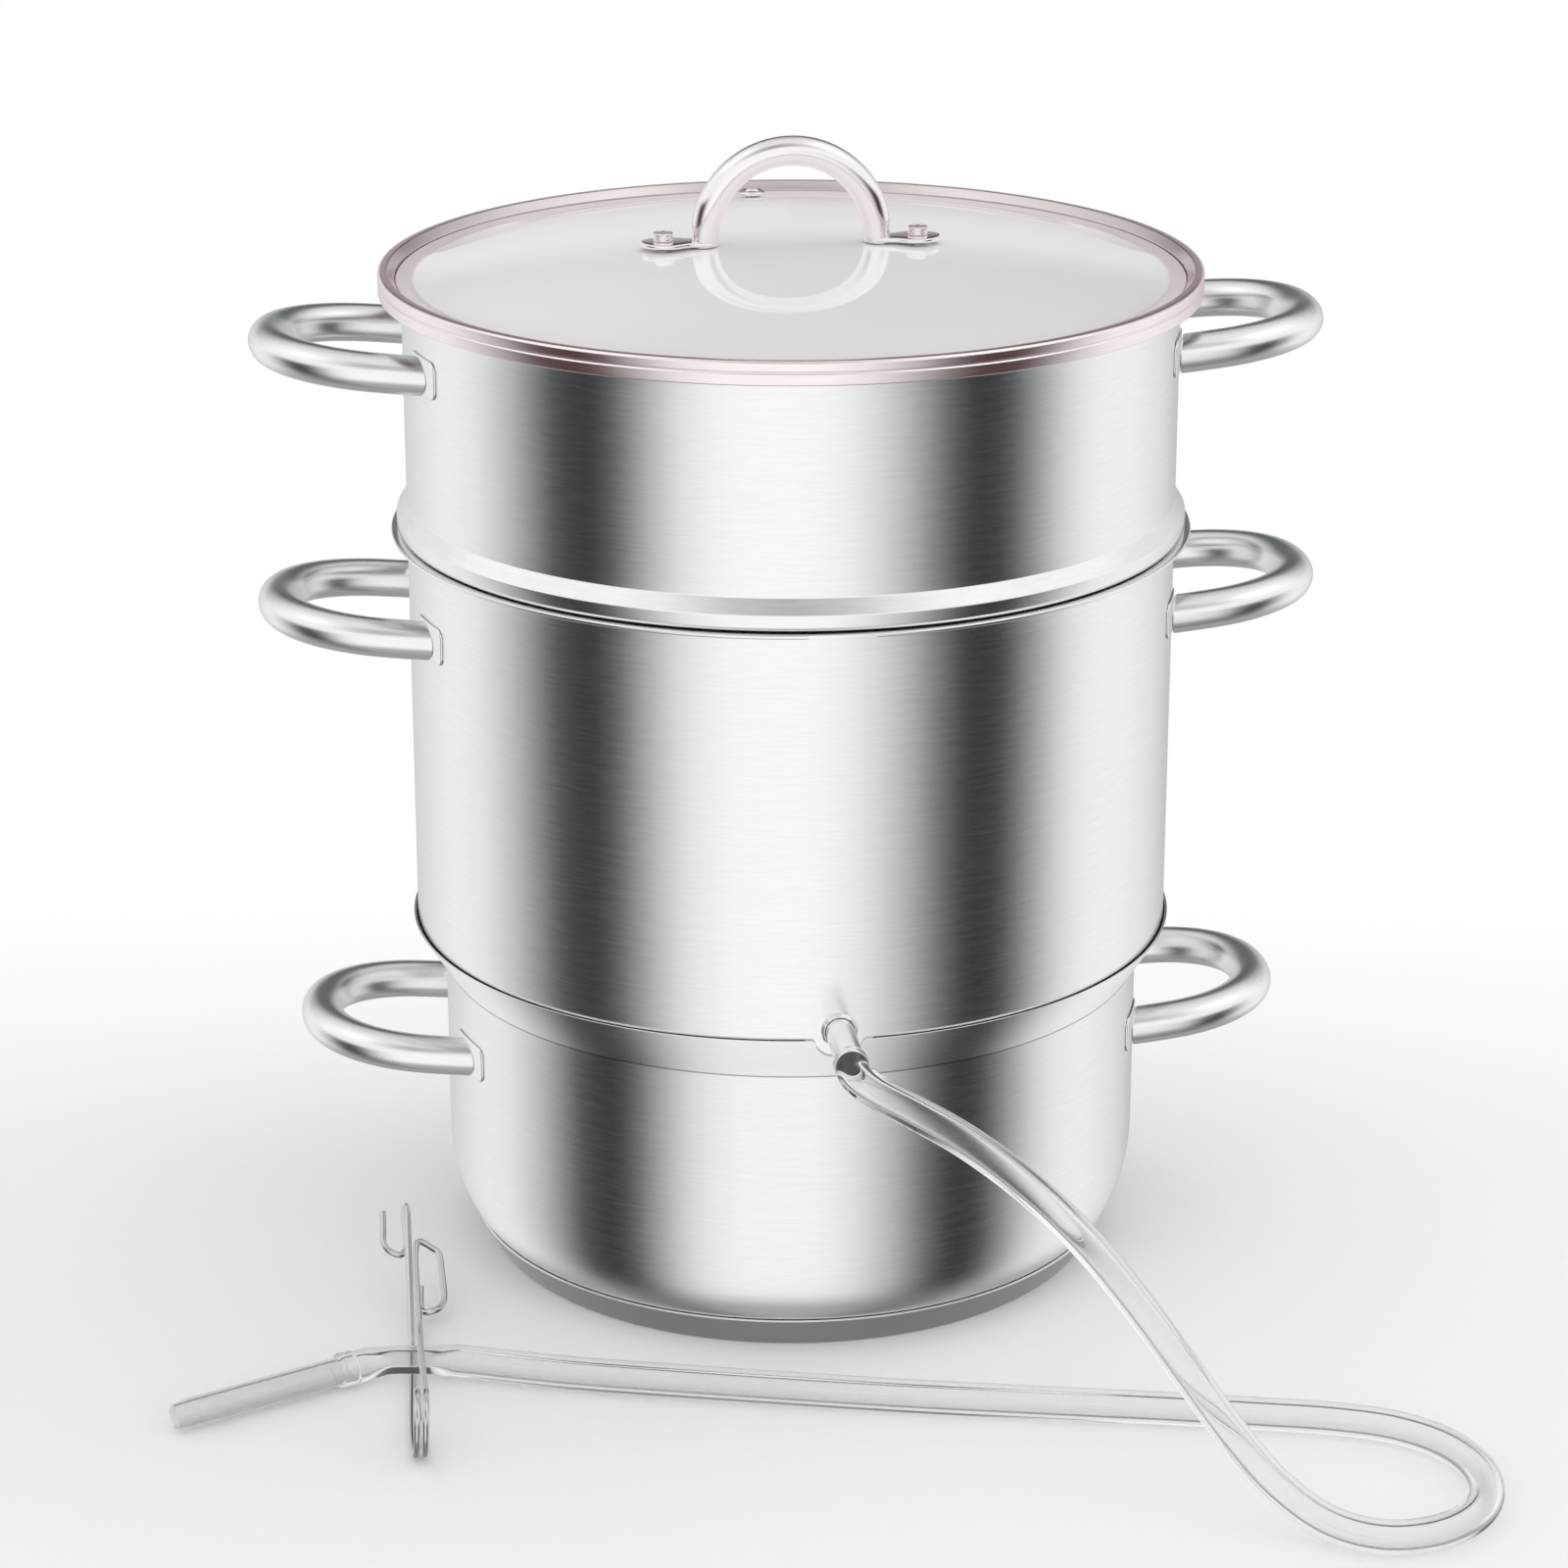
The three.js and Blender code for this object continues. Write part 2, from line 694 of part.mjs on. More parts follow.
function makeGlass() {
  const top = [];
  const bottom = [];
  for (let i = 0; i <= glassSteps; i += 1) {
    const radius = (glassRadius * i) / glassSteps;
    top.push([radius, glassTopAt(radius)]);
    bottom.push([radius, glassTopAt(radius) - glassThickness]);
  }
  const pane = lathe([...bottom, ...top.reverse()]);
  const low = glassEdgeTop - glassThickness - overrun;
  const high = glassEdgeTop + glassRise + overrun;
  const screwHole = screwShankRadius + screwHoleClearance;
  const holes = [-earCentre, earCentre].map((x) => disc(screwHole, low, high, screwSides).translate(x, 0, 0));
  const ventHole = disc(ventBarrelRadius + fitGap, low, high, ventSides).translate(0, ventCentre, 0);
  return cut(pane, ...holes, ventHole);
}

addPiece(lid, 'lid_rim', makeLidRim(), lidSteel());
addPiece(lid, 'lid_glass', makeGlass(), clearGlass());

// Lid handle: a tube arch whose flattened ends turn outwards as ears under the screws
const earInner = archLegRadius - archTubeRadius / 2;
const earBottom = glassTopAt(earInner) + fitGap;
const earTop = earBottom + earThickness;

function makeEar(side) {
  const points = [];
  for (let i = 0; i <= earSides / 2; i += 1) {
    const angle = -quarter + (Math.PI * i) / (earSides / 2);
    points.push(new THREE.Vector2(earCentre + earRadius * Math.cos(angle), earRadius * Math.sin(angle)));
  }
  points.push(new THREE.Vector2(earInner, archTubeRadius), new THREE.Vector2(earInner, -archTubeRadius));
  const plate = block(new THREE.Shape(points), earThickness);
  if (side < 0) plate.rotateZ(Math.PI);
  return plate.translate(0, 0, earBottom);
}

function makeLidHandle() {
  const footHeight = earTop - archLegBury;
  const shoulder = earBottom + archHeight - archTubeRadius - archLegRadius;
  const points = [[-archLegRadius, 0, footHeight]];
  const archPoints = 12;
  for (let i = 0; i <= archPoints; i += 1) {
    const angle = Math.PI - (Math.PI * i) / archPoints;
    points.push([archLegRadius * Math.cos(angle), 0, shoulder + archLegRadius * Math.sin(angle)]);
  }
  points.push([archLegRadius, 0, footHeight]);
  const tube = sweep(ovalShape(archTubeRadius, archTubeRadius, archSides), smoothCurve(points), archSteps);
  const holeRadius = screwShankRadius + screwHoleClearance;
  const holes = [-earCentre, earCentre].map(
    (x) => disc(holeRadius, earBottom - overrun, earTop + overrun, screwSides).translate(x, 0, 0));
  const level = disc(earCentre, earBottom - archHeight, earBottom, earSides);
  return cut(join(makeEar(-1), tube, makeEar(1)), level, ...holes);
}

addPiece(lid, 'lid_handle', makeLidHandle(), lidSteel());

// Each ear's screw, and below the glass its soft washer and cap nut
const washerTop = glassTopAt(earCentre + washerRadius) - glassThickness - fitGap;
const nutTop = washerTop - washerThickness - fitGap;

function makeScrew() {
  const headBottom = earTop + fitGap;
  const headTop = headBottom + screwHeadHeight;
  const edge = screwHeadHeight / 6;
  return lathe([
    [0, headBottom - screwLength],
    [screwShankRadius, headBottom - screwLength],
    [screwShankRadius, headBottom],
    [screwHeadRadius, headBottom],
    [screwHeadRadius, headTop - edge],
    [screwHeadRadius - edge, headTop],
    [0, headTop],
  ], screwSides);
}

function makeNut() {
  const bottom = nutTop - nutHeight;
  const boreRadius = screwShankRadius + fitGap;
  const body = disc(nutRadius, bottom + nutHeight / 3, nutTop, nutSides);
  const cap = lathe([
    [0, bottom],
    [nutRadius / 2, bottom],
    [nutRadius - nutCapWall / 2, bottom + nutHeight / 3],
    [nutRadius - nutCapWall / 2, bottom + nutHeight / 2],
    [0, bottom + nutHeight / 2],
  ], screwSides);
  const bore = disc(boreRadius, bottom + nutCapWall, nutTop + overrun, screwSides);
  return cut(join(body, cap), bore);
}

for (const [side, x] of [['left', -earCentre], ['right', earCentre]]) {
  const washerHole = screwShankRadius + screwHoleClearance;
  const washer = ring(washerHole, washerRadius, washerTop - washerThickness, washerTop, screwSides);
  addPiece(lid, `lid_screw_${side}`, makeScrew(), lidSteel()).position.x = x;
  addPiece(lid, `lid_washer_${side}`, washer, rubber()).position.x = x;
  addPiece(lid, `lid_nut_${side}`, makeNut(), lidSteel()).position.x = x;
}

// Steam vent: an eyelet pressed through the glass, with a flange above and below
function makeVent() {
  const glassHigh = glassTopAt(ventCentre - ventFlangeRadius) + fitGap;
  const glassLow = glassTopAt(ventCentre + ventFlangeRadius) - glassThickness - fitGap;
  const edge = ventFlangeHeight / 3;
  return lathe([
    [ventBoreRadius, glassLow - ventFlangeHeight],
    [ventFlangeRadius, glassLow - ventFlangeHeight],
    [ventFlangeRadius, glassLow],
    [ventBarrelRadius, glassLow],
    [ventBarrelRadius, glassHigh],
    [ventFlangeRadius, glassHigh],
    [ventFlangeRadius, glassHigh + edge],
    [ventBarrelRadius, glassHigh + ventFlangeHeight],
    [ventBoreRadius, glassHigh + ventFlangeHeight - edge],
  ], ventSides);
}

addPiece(lid, 'vent_eyelet', makeVent(), polishedSteel()).position.y = ventCentre;

// Drain hose in three stretches: the run, the flat stretch in the clamp and the tail
const clampPlace = [clampPlaneX, -spoutMouth - clampCoilAhead, 0];

function atClamp(place) {
  return place.map((value, axis) => value + clampPlace[axis]);
}

const hoseSection = ovalShape(hoseRadius, hoseRadius, hoseSides);
const hosePlaces = hoseRoute.map(
  ([x, ahead, share]) => [x, -spoutMouth - ahead, hoseRadius + (spoutHeight - hoseRadius) * share]);
const hoseRun = smoothCurve([...hosePlaces, atClamp(hosePinchStart)]);
addPiece(juiceKettle, 'hose_run', sweep(hoseSection, hoseRun, hoseRunSteps), silicone());

function makePinch() {
  const from = new THREE.Vector3(...atClamp(hosePinchStart));
  const to = new THREE.Vector3(...atClamp(hosePinchEnd));
  const middle = from.clone().add(to).multiplyScalar(0.5);
  const heading = Math.atan2(to.y - from.y, to.x - from.x);
  const slab = block(ovalShape(pinchWidth / 2, pinchThickness / 2, hoseSides), pinchLength - fitGap * 2);
  slab.translate(0, 0, fitGap - pinchLength / 2).rotateX(quarter).rotateZ(heading + quarter);
  return slab.translate(middle.x, middle.y, jawMiddle);
}

// Heights in the clamp's jaws, from the surface up
const lowWire = wireRadius + fitGap;
const jawMiddle = lowWire + wireRadius + fitGap + pinchThickness / 2;
const highWire = jawMiddle + pinchThickness / 2 + fitGap + wireRadius;
const hoseEnding = hoseTail.map(atClamp);
addPiece(juiceKettle, 'hose_pinched_stretch', makePinch(), silicone());
addPiece(juiceKettle, 'hose_tail', sweep(hoseSection, smoothCurve(hoseEnding), hoseTailSteps), silicone());

function makeNozzle() {
  const collarEnd = fitGap + nozzleCollarLength;
  return lathe([
    [nozzleBoreRadius, fitGap],
    [nozzleCollarRadius, fitGap],
    [nozzleCollarRadius, collarEnd],
    [nozzleTubeRadius, collarEnd],
    [nozzleTubeRadius, nozzleLength - nozzleCollarLength],
    [nozzleTipRadius, nozzleLength],
    [nozzleBoreRadius, nozzleLength],
  ], nozzleSides).rotateY(quarter).rotateZ(nozzleHeading);
}

const nozzle = addPiece(juiceKettle, 'filling_nozzle', makeNozzle(), silicone());
const hoseEnd = hoseEnding.at(-1);
nozzle.position.set(hoseEnd[0], hoseEnd[1], nozzleCollarRadius + fitGap / 6);

// Pinch clamp, in its own frame: X across the wires, Y from the coil to the finger
// pads, Z up from the surface that it lies on
const coilHeight = lowWire + coilRadius;
const coilShift = (coilPitch * coilTurns) / 2;
const armShift = armSpacing / 2;

function coilPoint(angle, x) {
  return [x, coilRadius * Math.sin(angle), coilHeight - coilRadius * Math.cos(angle)];
}

function lowerArmPoints() {
  const padSlope = (padRise - lowWire) / (padReach - lowerArmLift);
  const lift = (reach) => lowWire + (reach - lowerArmLift) * padSlope;
  const padNear = padReach - padLength;
  const innerX = -armShift - wireRadius * 2 - fitGap * 2;
  const outerX = innerX - padWidth;
  const middleX = (innerX + outerX) / 2;
  const bendShare = 0.25;
  const bend = padWidth * bendShare;
  return [
    [outerX, padReach - bend, lift(padReach - bend)],
    [outerX, padReach - padLength / 2, lift(padReach - padLength / 2)],
    [outerX, padNear + bend, lift(padNear + bend)],
    [outerX + bend / 2, padNear, lift(padNear)],
    [middleX, padNear - bend, lift(padNear - bend)],
    [innerX - bend / 2, padNear, lift(padNear)],
    [innerX, padNear + bend, lift(padNear + bend)],
    [innerX, padReach - bend, lift(padReach - bend)],
    [innerX + wireRadius / 2, padReach, lift(padReach)],
    [-armShift - wireRadius / 2, padReach, lift(padReach)],
    [-armShift, padReach - bend, lift(padReach - bend)],
    [-armShift, padNear, lift(padNear)],
    [-armShift, lowerArmLift + wireRadius * 4, lift(lowerArmLift + wireRadius * 4)],
    [-armShift, lowerArmLift, lowWire + wireRadius / 3],
    [-armShift, lowerArmLift - wireRadius * 4, lowWire],
    [-armShift, jawReach, lowWire],
    [-coilShift, coilRadius * 2, lowWire],
  ];
}

// From the lower arm's tangent at the bottom of the coil, round to the upper arm
const coilLeave = Math.atan2(coilHeight + coilRadius - highWire, jawReach);

function coilPoints() {
  const sweepAngle = turn * coilTurns + coilLeave;
  const steps = Math.round((sweepAngle / turn) * coilStepsPerTurn);
  const points = [];
  for (let i = 0; i <= steps; i += 1) {
    const share = i / steps;
    points.push(coilPoint(-sweepAngle * share, -coilShift + coilShift * 2 * share));
  }
  return points;
}

function upperArmPoints() {
  const leave = coilPoints().at(-1);
  const fall = (highWire - leave[2]) / (jawReach - leave[1]);
  const slope = (reach) => highWire + fall * (reach - jawReach);
  const rise = (reach) => lowWire + ((reach - loopStart) / (loopReach - loopStart)) * (loopRise - lowWire);
  const loopNear = loopReach - loopLength;
  const innerX = armShift + wireRadius * 2 + fitGap * 2;
  const outerX = innerX + loopWidth;
  const middleX = (innerX + outerX) / 2;
  const bendShare = 0.2;
  const bend = loopWidth * bendShare;
  const start = leave[1] + coilRadius * Math.sin(clampOpening) + fitGap;
  const midway = (start + jawReach) / 2;
  return [
    [coilShift, start, slope(start)],
    [(coilShift + armShift) / 2, midway, slope(midway)],
    [armShift, jawReach, highWire],
    [armShift, loopStart - wireRadius * 5, slope(loopStart - wireRadius * 5)],
    [armShift, loopStart, lowWire + wireRadius / 2],
    [armShift, loopStart + wireRadius * 5, rise(loopStart + wireRadius * 5)],
    [armShift, loopReach - bend, rise(loopReach - bend)],
    [armShift + bend, loopReach, rise(loopReach)],
    [outerX - bend, loopReach, rise(loopReach)],
    [outerX, loopReach - bend, rise(loopReach - bend)],
    [outerX, (loopReach + loopNear) / 2, rise((loopReach + loopNear) / 2)],
    [outerX, loopNear + bend * 2, rise(loopNear + bend * 2)],
    [outerX - bend, loopNear + bend / 2, rise(loopNear + bend / 2)],
    [middleX, loopNear, rise(loopNear)],
    [innerX + bend, loopNear + bend / 2, rise(loopNear + bend / 2)],
    [innerX, loopNear + bend * 2, rise(loopNear + bend * 2)],
    [innerX, (loopReach + loopNear) / 2, rise((loopReach + loopNear) / 2)],
  ];
}

function makeWire(points) {
  const curve = smoothCurve(points);
  const steps = Math.round(curve.getLength() / wireStep);
  return sweep(ovalShape(wireRadius, wireRadius, wireSides), curve, steps);
}

const clamp = new THREE.Group();
clamp.position.set(...clampPlace);
juiceKettle.add(clamp);
addPiece(clamp, 'clamp_lower_arm', makeWire([...lowerArmPoints(), ...coilPoints()]), polishedSteel());
addPiece(clamp, 'clamp_upper_arm', makeWire(upperArmPoints()), polishedSteel());

// The least gap between two turns of the coil, measured on its points
function coilGap() {
  const points = coilPoints().map(([x, y, z]) => new THREE.Vector3(x, y, z));
  let least = Infinity;
  for (let i = 0; i < points.length; i += 1) {
    for (let k = i + coilStepsPerTurn / 2; k < points.length; k += 1) {
      least = Math.min(least, points[i].distanceTo(points[k]));
    }
  }
  return least - wireRadius * 2;
}
console.log(`coil: least gap between turns ${coilGap().toFixed(2)} mm`);
console.log(`hose: run ${hoseRun.getLength().toFixed(0)} mm`);

export default juicer;
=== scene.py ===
from contextlib import contextmanager
from functools import partialmethod
from math import asin, atan2, ceil, cos, degrees, hypot, pi, radians, sin, sqrt, tan

import bmesh
import bpy
from mathutils import Matrix, Vector


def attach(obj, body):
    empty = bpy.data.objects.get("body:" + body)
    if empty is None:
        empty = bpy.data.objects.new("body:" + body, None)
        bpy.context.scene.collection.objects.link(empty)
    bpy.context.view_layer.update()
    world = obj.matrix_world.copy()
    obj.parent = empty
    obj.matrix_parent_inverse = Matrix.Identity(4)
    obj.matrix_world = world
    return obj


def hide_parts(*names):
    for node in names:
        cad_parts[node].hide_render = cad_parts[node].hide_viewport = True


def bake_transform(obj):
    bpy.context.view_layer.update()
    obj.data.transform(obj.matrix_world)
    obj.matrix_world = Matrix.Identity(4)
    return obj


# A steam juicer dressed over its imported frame. Sizes are written in millimetres,
# as the frame's source has them, and made metres when a mesh is filled in.
# Those of the materials and the studio are in metres.
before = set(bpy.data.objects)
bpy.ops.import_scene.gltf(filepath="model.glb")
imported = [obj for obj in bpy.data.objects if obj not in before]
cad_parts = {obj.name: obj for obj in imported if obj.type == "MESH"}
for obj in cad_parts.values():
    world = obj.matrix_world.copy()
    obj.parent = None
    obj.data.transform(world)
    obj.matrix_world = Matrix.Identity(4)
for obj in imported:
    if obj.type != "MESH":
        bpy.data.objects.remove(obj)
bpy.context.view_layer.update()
mm = 0.001

cameraSetup = {"lens": 103.06, "place": (-0.1805, -1.4711, 0.6822), "tilt": 70.721, "turn": -6.905}


def linked(name, data):
    thing = bpy.data.objects.new(name, data)
    bpy.context.scene.collection.objects.link(thing)
    return thing


def placeCamera():
    lens = bpy.data.cameras.new("photoLens")
    lens.lens = cameraSetup["lens"]
    lens.sensor_width = 36.0
    lens.clip_end = 50.0
    camera = linked("photoCamera", lens)
    camera.location = cameraSetup["place"]
    camera.rotation_euler = (radians(cameraSetup["tilt"]), 0.0, radians(cameraSetup["turn"]))
    bpy.context.scene.camera = camera
    bpy.context.scene.view_settings.view_transform = "Standard"


placeCamera()
print("camera placed")


# A node socket that takes Python arithmetic
class Wired:
    def __init__(self, tree, socket):
        self.tree = tree
        self.socket = socket

    def maths(self, operation, other=None, swapped=False):
        values = {0: other, 1: self} if swapped else {0: self, 1: other}
        return addNode(self.tree, "ShaderNodeMath", {"operation": operation}, values)

    __add__ = partialmethod(maths, "ADD")
    __radd__ = partialmethod(maths, "ADD", swapped=True)
    __sub__ = partialmethod(maths, "SUBTRACT")
    __rsub__ = partialmethod(maths, "SUBTRACT", swapped=True)
    __mul__ = partialmethod(maths, "MULTIPLY")
    __rmul__ = partialmethod(maths, "MULTIPLY", swapped=True)
    __truediv__ = partialmethod(maths, "DIVIDE")
    __rtruediv__ = partialmethod(maths, "DIVIDE", swapped=True)
    __pow__ = partialmethod(maths, "POWER")
    __mod__ = partialmethod(maths, "MODULO")

    def smooth(self, low, high):
        return addNode(self.tree, "ShaderNodeMapRange", {"interpolation_type": "SMOOTHSTEP"},
                       {"Value": self, "From Min": low, "From Max": high})


def fillRamp(ramp, stops):
    while len(ramp.elements) > 1:
        ramp.elements.remove(ramp.elements[-1])
    for number, (place, colour) in enumerate(stops):
        stop = ramp.elements.new(place) if number else ramp.elements[0]
        stop.position = place
        stop.color = (*colour, 1.0)


# Makes one node: its settings first, then the values or links of its sockets.
# It gives back one output, or a list of them where output names several.
def addNode(tree, kind, settings=None, values=None, output=0):
    node = tree.nodes.new(kind)
    for key, value in (settings or {}).items():
        if key == "stops":
            fillRamp(node.color_ramp, value)
        elif key == "captured":
            node.capture_items.new("FLOAT", value)
        else:
            setattr(node, key, value)
    for key, value in (values or {}).items():
        socket = node.inputs[key]
        if isinstance(value, (Wired, list)):
            for part in value if isinstance(value, list) else [value]:
                tree.links.new(part.socket, socket)
        elif value is not None:
            socket.default_value = (*value, 1.0) if socket.type == "RGBA" else value
    if isinstance(output, (list, tuple)):
        return [Wired(tree, node.outputs[key]) for key in output]
    return Wired(tree, node.outputs[output]) if len(node.outputs) else node


def mixColours(tree, share, first, second):
    return addNode(tree, "ShaderNodeMix", {"data_type": "RGBA"}, {0: share, 6: first, 7: second}, 2)


def vectorMaths(tree, operation, first, second=None, output=0):
    return addNode(tree, "ShaderNodeVectorMath", {"operation": operation}, {0: first, 1: second}, output)


def dotProduct(tree, first, second):
    return vectorMaths(tree, "DOT_PRODUCT", first, second, 1)


def splitAxes(tree, vector):
    return addNode(tree, "ShaderNodeSeparateXYZ", None, {0: vector}, (0, 1, 2))


def joinAxes(tree, x=None, y=None, z=None):
    return addNode(tree, "ShaderNodeCombineXYZ", None, {0: x, 1: y, 2: z})


def noise(tree, vector, scale, detail=2.0, roughness=0.5):
    return addNode(tree, "ShaderNodeTexNoise", None,
                   {"Vector": vector, "Scale": scale, "Detail": detail, "Roughness": roughness})


def objectPlace(tree):
    return addNode(tree, "ShaderNodeTexCoord", None, None, 3)


def seenThrough(tree):
    # 1 for what the camera sees, straight or through something clear
    kinds = "Is Camera Ray", "Is Transmission Ray"
    straight, through = addNode(tree, "ShaderNodeLightPath", None, None, kinds)
    return (straight + through).maths("MINIMUM", 1.0)


def newTree(name):
    material = bpy.data.materials.new(name)
    material.use_nodes = True
    material.node_tree.nodes.clear()
    return material, material.node_tree


def finished(material, surface):
    addNode(material.node_tree, "ShaderNodeOutputMaterial", None, {"Surface": surface})
    return material


def shade(colour, share):
    return tuple(part * share for part in colour)


# The studio that the metal sees: a bright panel in front, a dark gap to each side of it,
# pale panels at the sides and a softer tone behind and below. Angles are in degrees
# round the object from the front, and tones are linear. The zones' borders are the
# heights of the direction, from -1 straight down to 1 straight up.
white = (1.0, 1.0, 1.0)
studio = {
    "front": (-0.1218, -0.9926, 0.0),
    "right": (0.9926, -0.1218, 0.0),
    "tones": [
        (-180, 0.60), (-150, 0.77), (-125, 0.96), (-108, 0.93), (-94, 0.66), (-82, 0.31), (-74, 0.07),
        (-60, 0.02), (-52, 0.10), (-42, 0.49), (-32, 0.88), (-18, 1.07), (0, 1.08), (10, 1.07), (22, 0.89),
        (34, 0.54), (44, 0.18), (53, 0.02), (66, 0.04), (75, 0.29), (88, 0.78), (100, 0.98),
        (118, 0.98), (142, 0.80), (160, 0.58), (180, 0.54),
    ],
    "midTones": [
        (-180, 0.07), (-164, 0.09), (-150, 0.45), (-134, 0.78), (-106, 1.05), (-60, 0.97), (-30, 1.02),
        (0, 1.04), (30, 1.02), (60, 0.97), (106, 1.05), (134, 0.72), (150, 0.42), (164, 0.09), (180, 0.07),
    ],
    "highTones": [
        (-180, 0.60), (-120, 0.95), (-80, 1.25), (-60, 1.1), (-40, 0.84), (-22, 0.56), (0, 0.41), (22, 0.58),
        (40, 0.88), (60, 1.17), (80, 1.34), (120, 1.0), (180, 0.60),
    ],
    "toMid": (0.14, 0.29), "toHigh": (0.58, 0.74), "toOverhead": (0.88, 0.98), "toBelow": (0.48, 0.8),
    "overhead": (0.85, 0.85, 0.85), "below": (0.26, 0.26, 0.2652), "belowShare": 0.78,
    "cool": 1.05, "diffuse": (0.95, 0.95, 0.95),
}


def studioTones(tree, round01, tones):
    stops = [(angle / 360 + 0.5, (tone ** studio["cool"], tone, tone)) for angle, tone in tones]
    return addNode(tree, "ShaderNodeValToRGB", {"stops": stops}, {"Fac": round01})


def makeStudio():
    world = bpy.data.worlds.new("paleStudio")
    world.use_nodes = True
    tree = world.node_tree
    tree.nodes.clear()
    bpy.context.scene.world = world
    way = addNode(tree, "ShaderNodeTexCoord")
    axes = studio["front"], studio["right"], (0.0, 0.0, 1.0)
    ahead, aside, height = (dotProduct(tree, way, axis) for axis in axes)
    round01 = aside.maths("ARCTAN2", ahead) / (2 * pi) + 0.5
    low, mid, high = (studioTones(tree, round01, studio[key]) for key in ("tones", "midTones", "highTones"))
    lit = mixColours(tree, height.smooth(*studio["toMid"]), low, mid)
    lit = mixColours(tree, height.smooth(*studio["toHigh"]), lit, high)
    lit = mixColours(tree, height.smooth(*studio["toOverhead"]), lit, studio["overhead"])
    sunk = (0.0 - height).smooth(*studio["toBelow"]) * studio["belowShare"]
    lit = mixColours(tree, sunk, lit, studio["below"])
    [glossy] = addNode(tree, "ShaderNodeLightPath", None, None, ["Is Glossy Ray"])
    tone = mixColours(tree, glossy, studio["diffuse"], lit)
    tone = mixColours(tree, seenThrough(tree), tone, white)
    light = addNode(tree, "ShaderNodeBackground", None, {"Color": tone, "Strength": 1.0})
    addNode(tree, "ShaderNodeOutputWorld", None, {"Surface": light})


# The floor fades to white behind the object and far from it
floorSetup = {
    "half": 4.0, "level": -0.0002, "colour": (0.94, 0.942, 0.945), "grain": 260.0, "low": 0.985, "high": 1.01,
    "behind": (0.02, 0.36), "far": (0.42, 0.9),
}


def makeFloor():
    half, level = floorSetup["half"], floorSetup["level"]
    mesh = bpy.data.meshes.new("floor")
    corners = [(x * half, y * half, level) for x, y in ((-1, -1), (1, -1), (1, 1), (-1, 1))]
    mesh.from_pydata(corners, [], [(0, 1, 2, 3)])
    floor = linked("floor", mesh)
    material, tree = newTree("paleFloor")
    place = objectPlace(tree)
    behind = (0.0 - dotProduct(tree, place, studio["front"])).smooth(*floorSetup["behind"])
    far = vectorMaths(tree, "LENGTH", place, output=1).smooth(*floorSetup["far"])
    colour = floorSetup["colour"]
    low, high = (shade(colour, floorSetup[key]) for key in ("low", "high"))
    pale = mixColours(tree, noise(tree, place, floorSetup["grain"]), low, high)
    matt = addNode(tree, "ShaderNodeBsdfDiffuse", None, {"Color": pale, "Roughness": 0.4})
    bright = addNode(tree, "ShaderNodeEmission", None, {"Color": white, "Strength": 1.0})
    share = behind.maths("MAXIMUM", far) * seenThrough(tree)
    mixed = addNode(tree, "ShaderNodeMixShader", None, {0: share, 1: matt, 2: bright})
    mesh.materials.append(finished(material, mixed))
    floor.visible_glossy = False


lampSetup = {"place": (0.75, 0.25, 1.5), "aim": (0.0, 0.0, 0.05), "size": 0.9, "power": 2.3}


def hangLamp():
    light = bpy.data.lights.new("shadowLamp", "AREA")
    light.shape = "DISK"
    light.size = lampSetup["size"]
    light.energy = lampSetup["power"]
    lamp = linked("shadowLamp", light)
    lamp.location = lampSetup["place"]
    way = Vector(lampSetup["aim"]) - Vector(lampSetup["place"])
    lamp.rotation_euler = way.to_track_quat("-Z", "Y").to_euler()
    lamp.visible_camera = False
    lamp.visible_glossy = False


makeStudio()
makeFloor()
hangLamp()
print("studio, floor and lamp ready")


grainSpread = (0.3, 0.7)


def grainTone(tree, grain, low, high):
    return mixColours(tree, grain.smooth(*grainSpread), low, high)


brushRelief, fineRelief = 0.0002, 0.0001


def relief(tree, height, strength, distance=brushRelief, normal=None):
    return addNode(tree, "ShaderNodeBump", None,
                   {"Strength": strength, "Distance": distance, "Height": height, "Normal": normal})


filmColour = (0.95, 0.22, 0.24)


# A metal's surface. The film is a little warm scatter over it, which tints its dark reflections
def metalSkin(tree, tone, rough, normal, film):
    metal = addNode(tree, "ShaderNodeBsdfPrincipled", None,
                    {"Base Color": tone, "Metallic": 1.0, "Roughness": rough, "Normal": normal})
    if not film:
        return metal
    warm = addNode(tree, "ShaderNodeBsdfDiffuse", None, {"Color": filmColour, "Roughness": 0.3})
    return addNode(tree, "ShaderNodeMixShader", None, {0: film, 1: metal, 2: warm})


# Steel that was brushed round its axis: fine streaks that follow the turning, in tone,
# roughness and relief, and slow changes of tone from the polishing. Painted lines round it
# are painted shade where dark and a painted highlight where light, as (height, half width, share of the tint)
brushedSetup = {
    "coarse": 0.5, "slow": 0.3, "clouds": 14.0, "grainShare": 0.7, "bandShare": 0.3, "waver": (0.12, 0.04),
    "lineCore": 0.3, "insideShadeEdge": (0.001, 0.0008), "steadyFrom": (0.003, 0.03), "stripEdge": 0.001,
    "front": (0.0, 0.01), "facing": (0.3, 0.75),
}


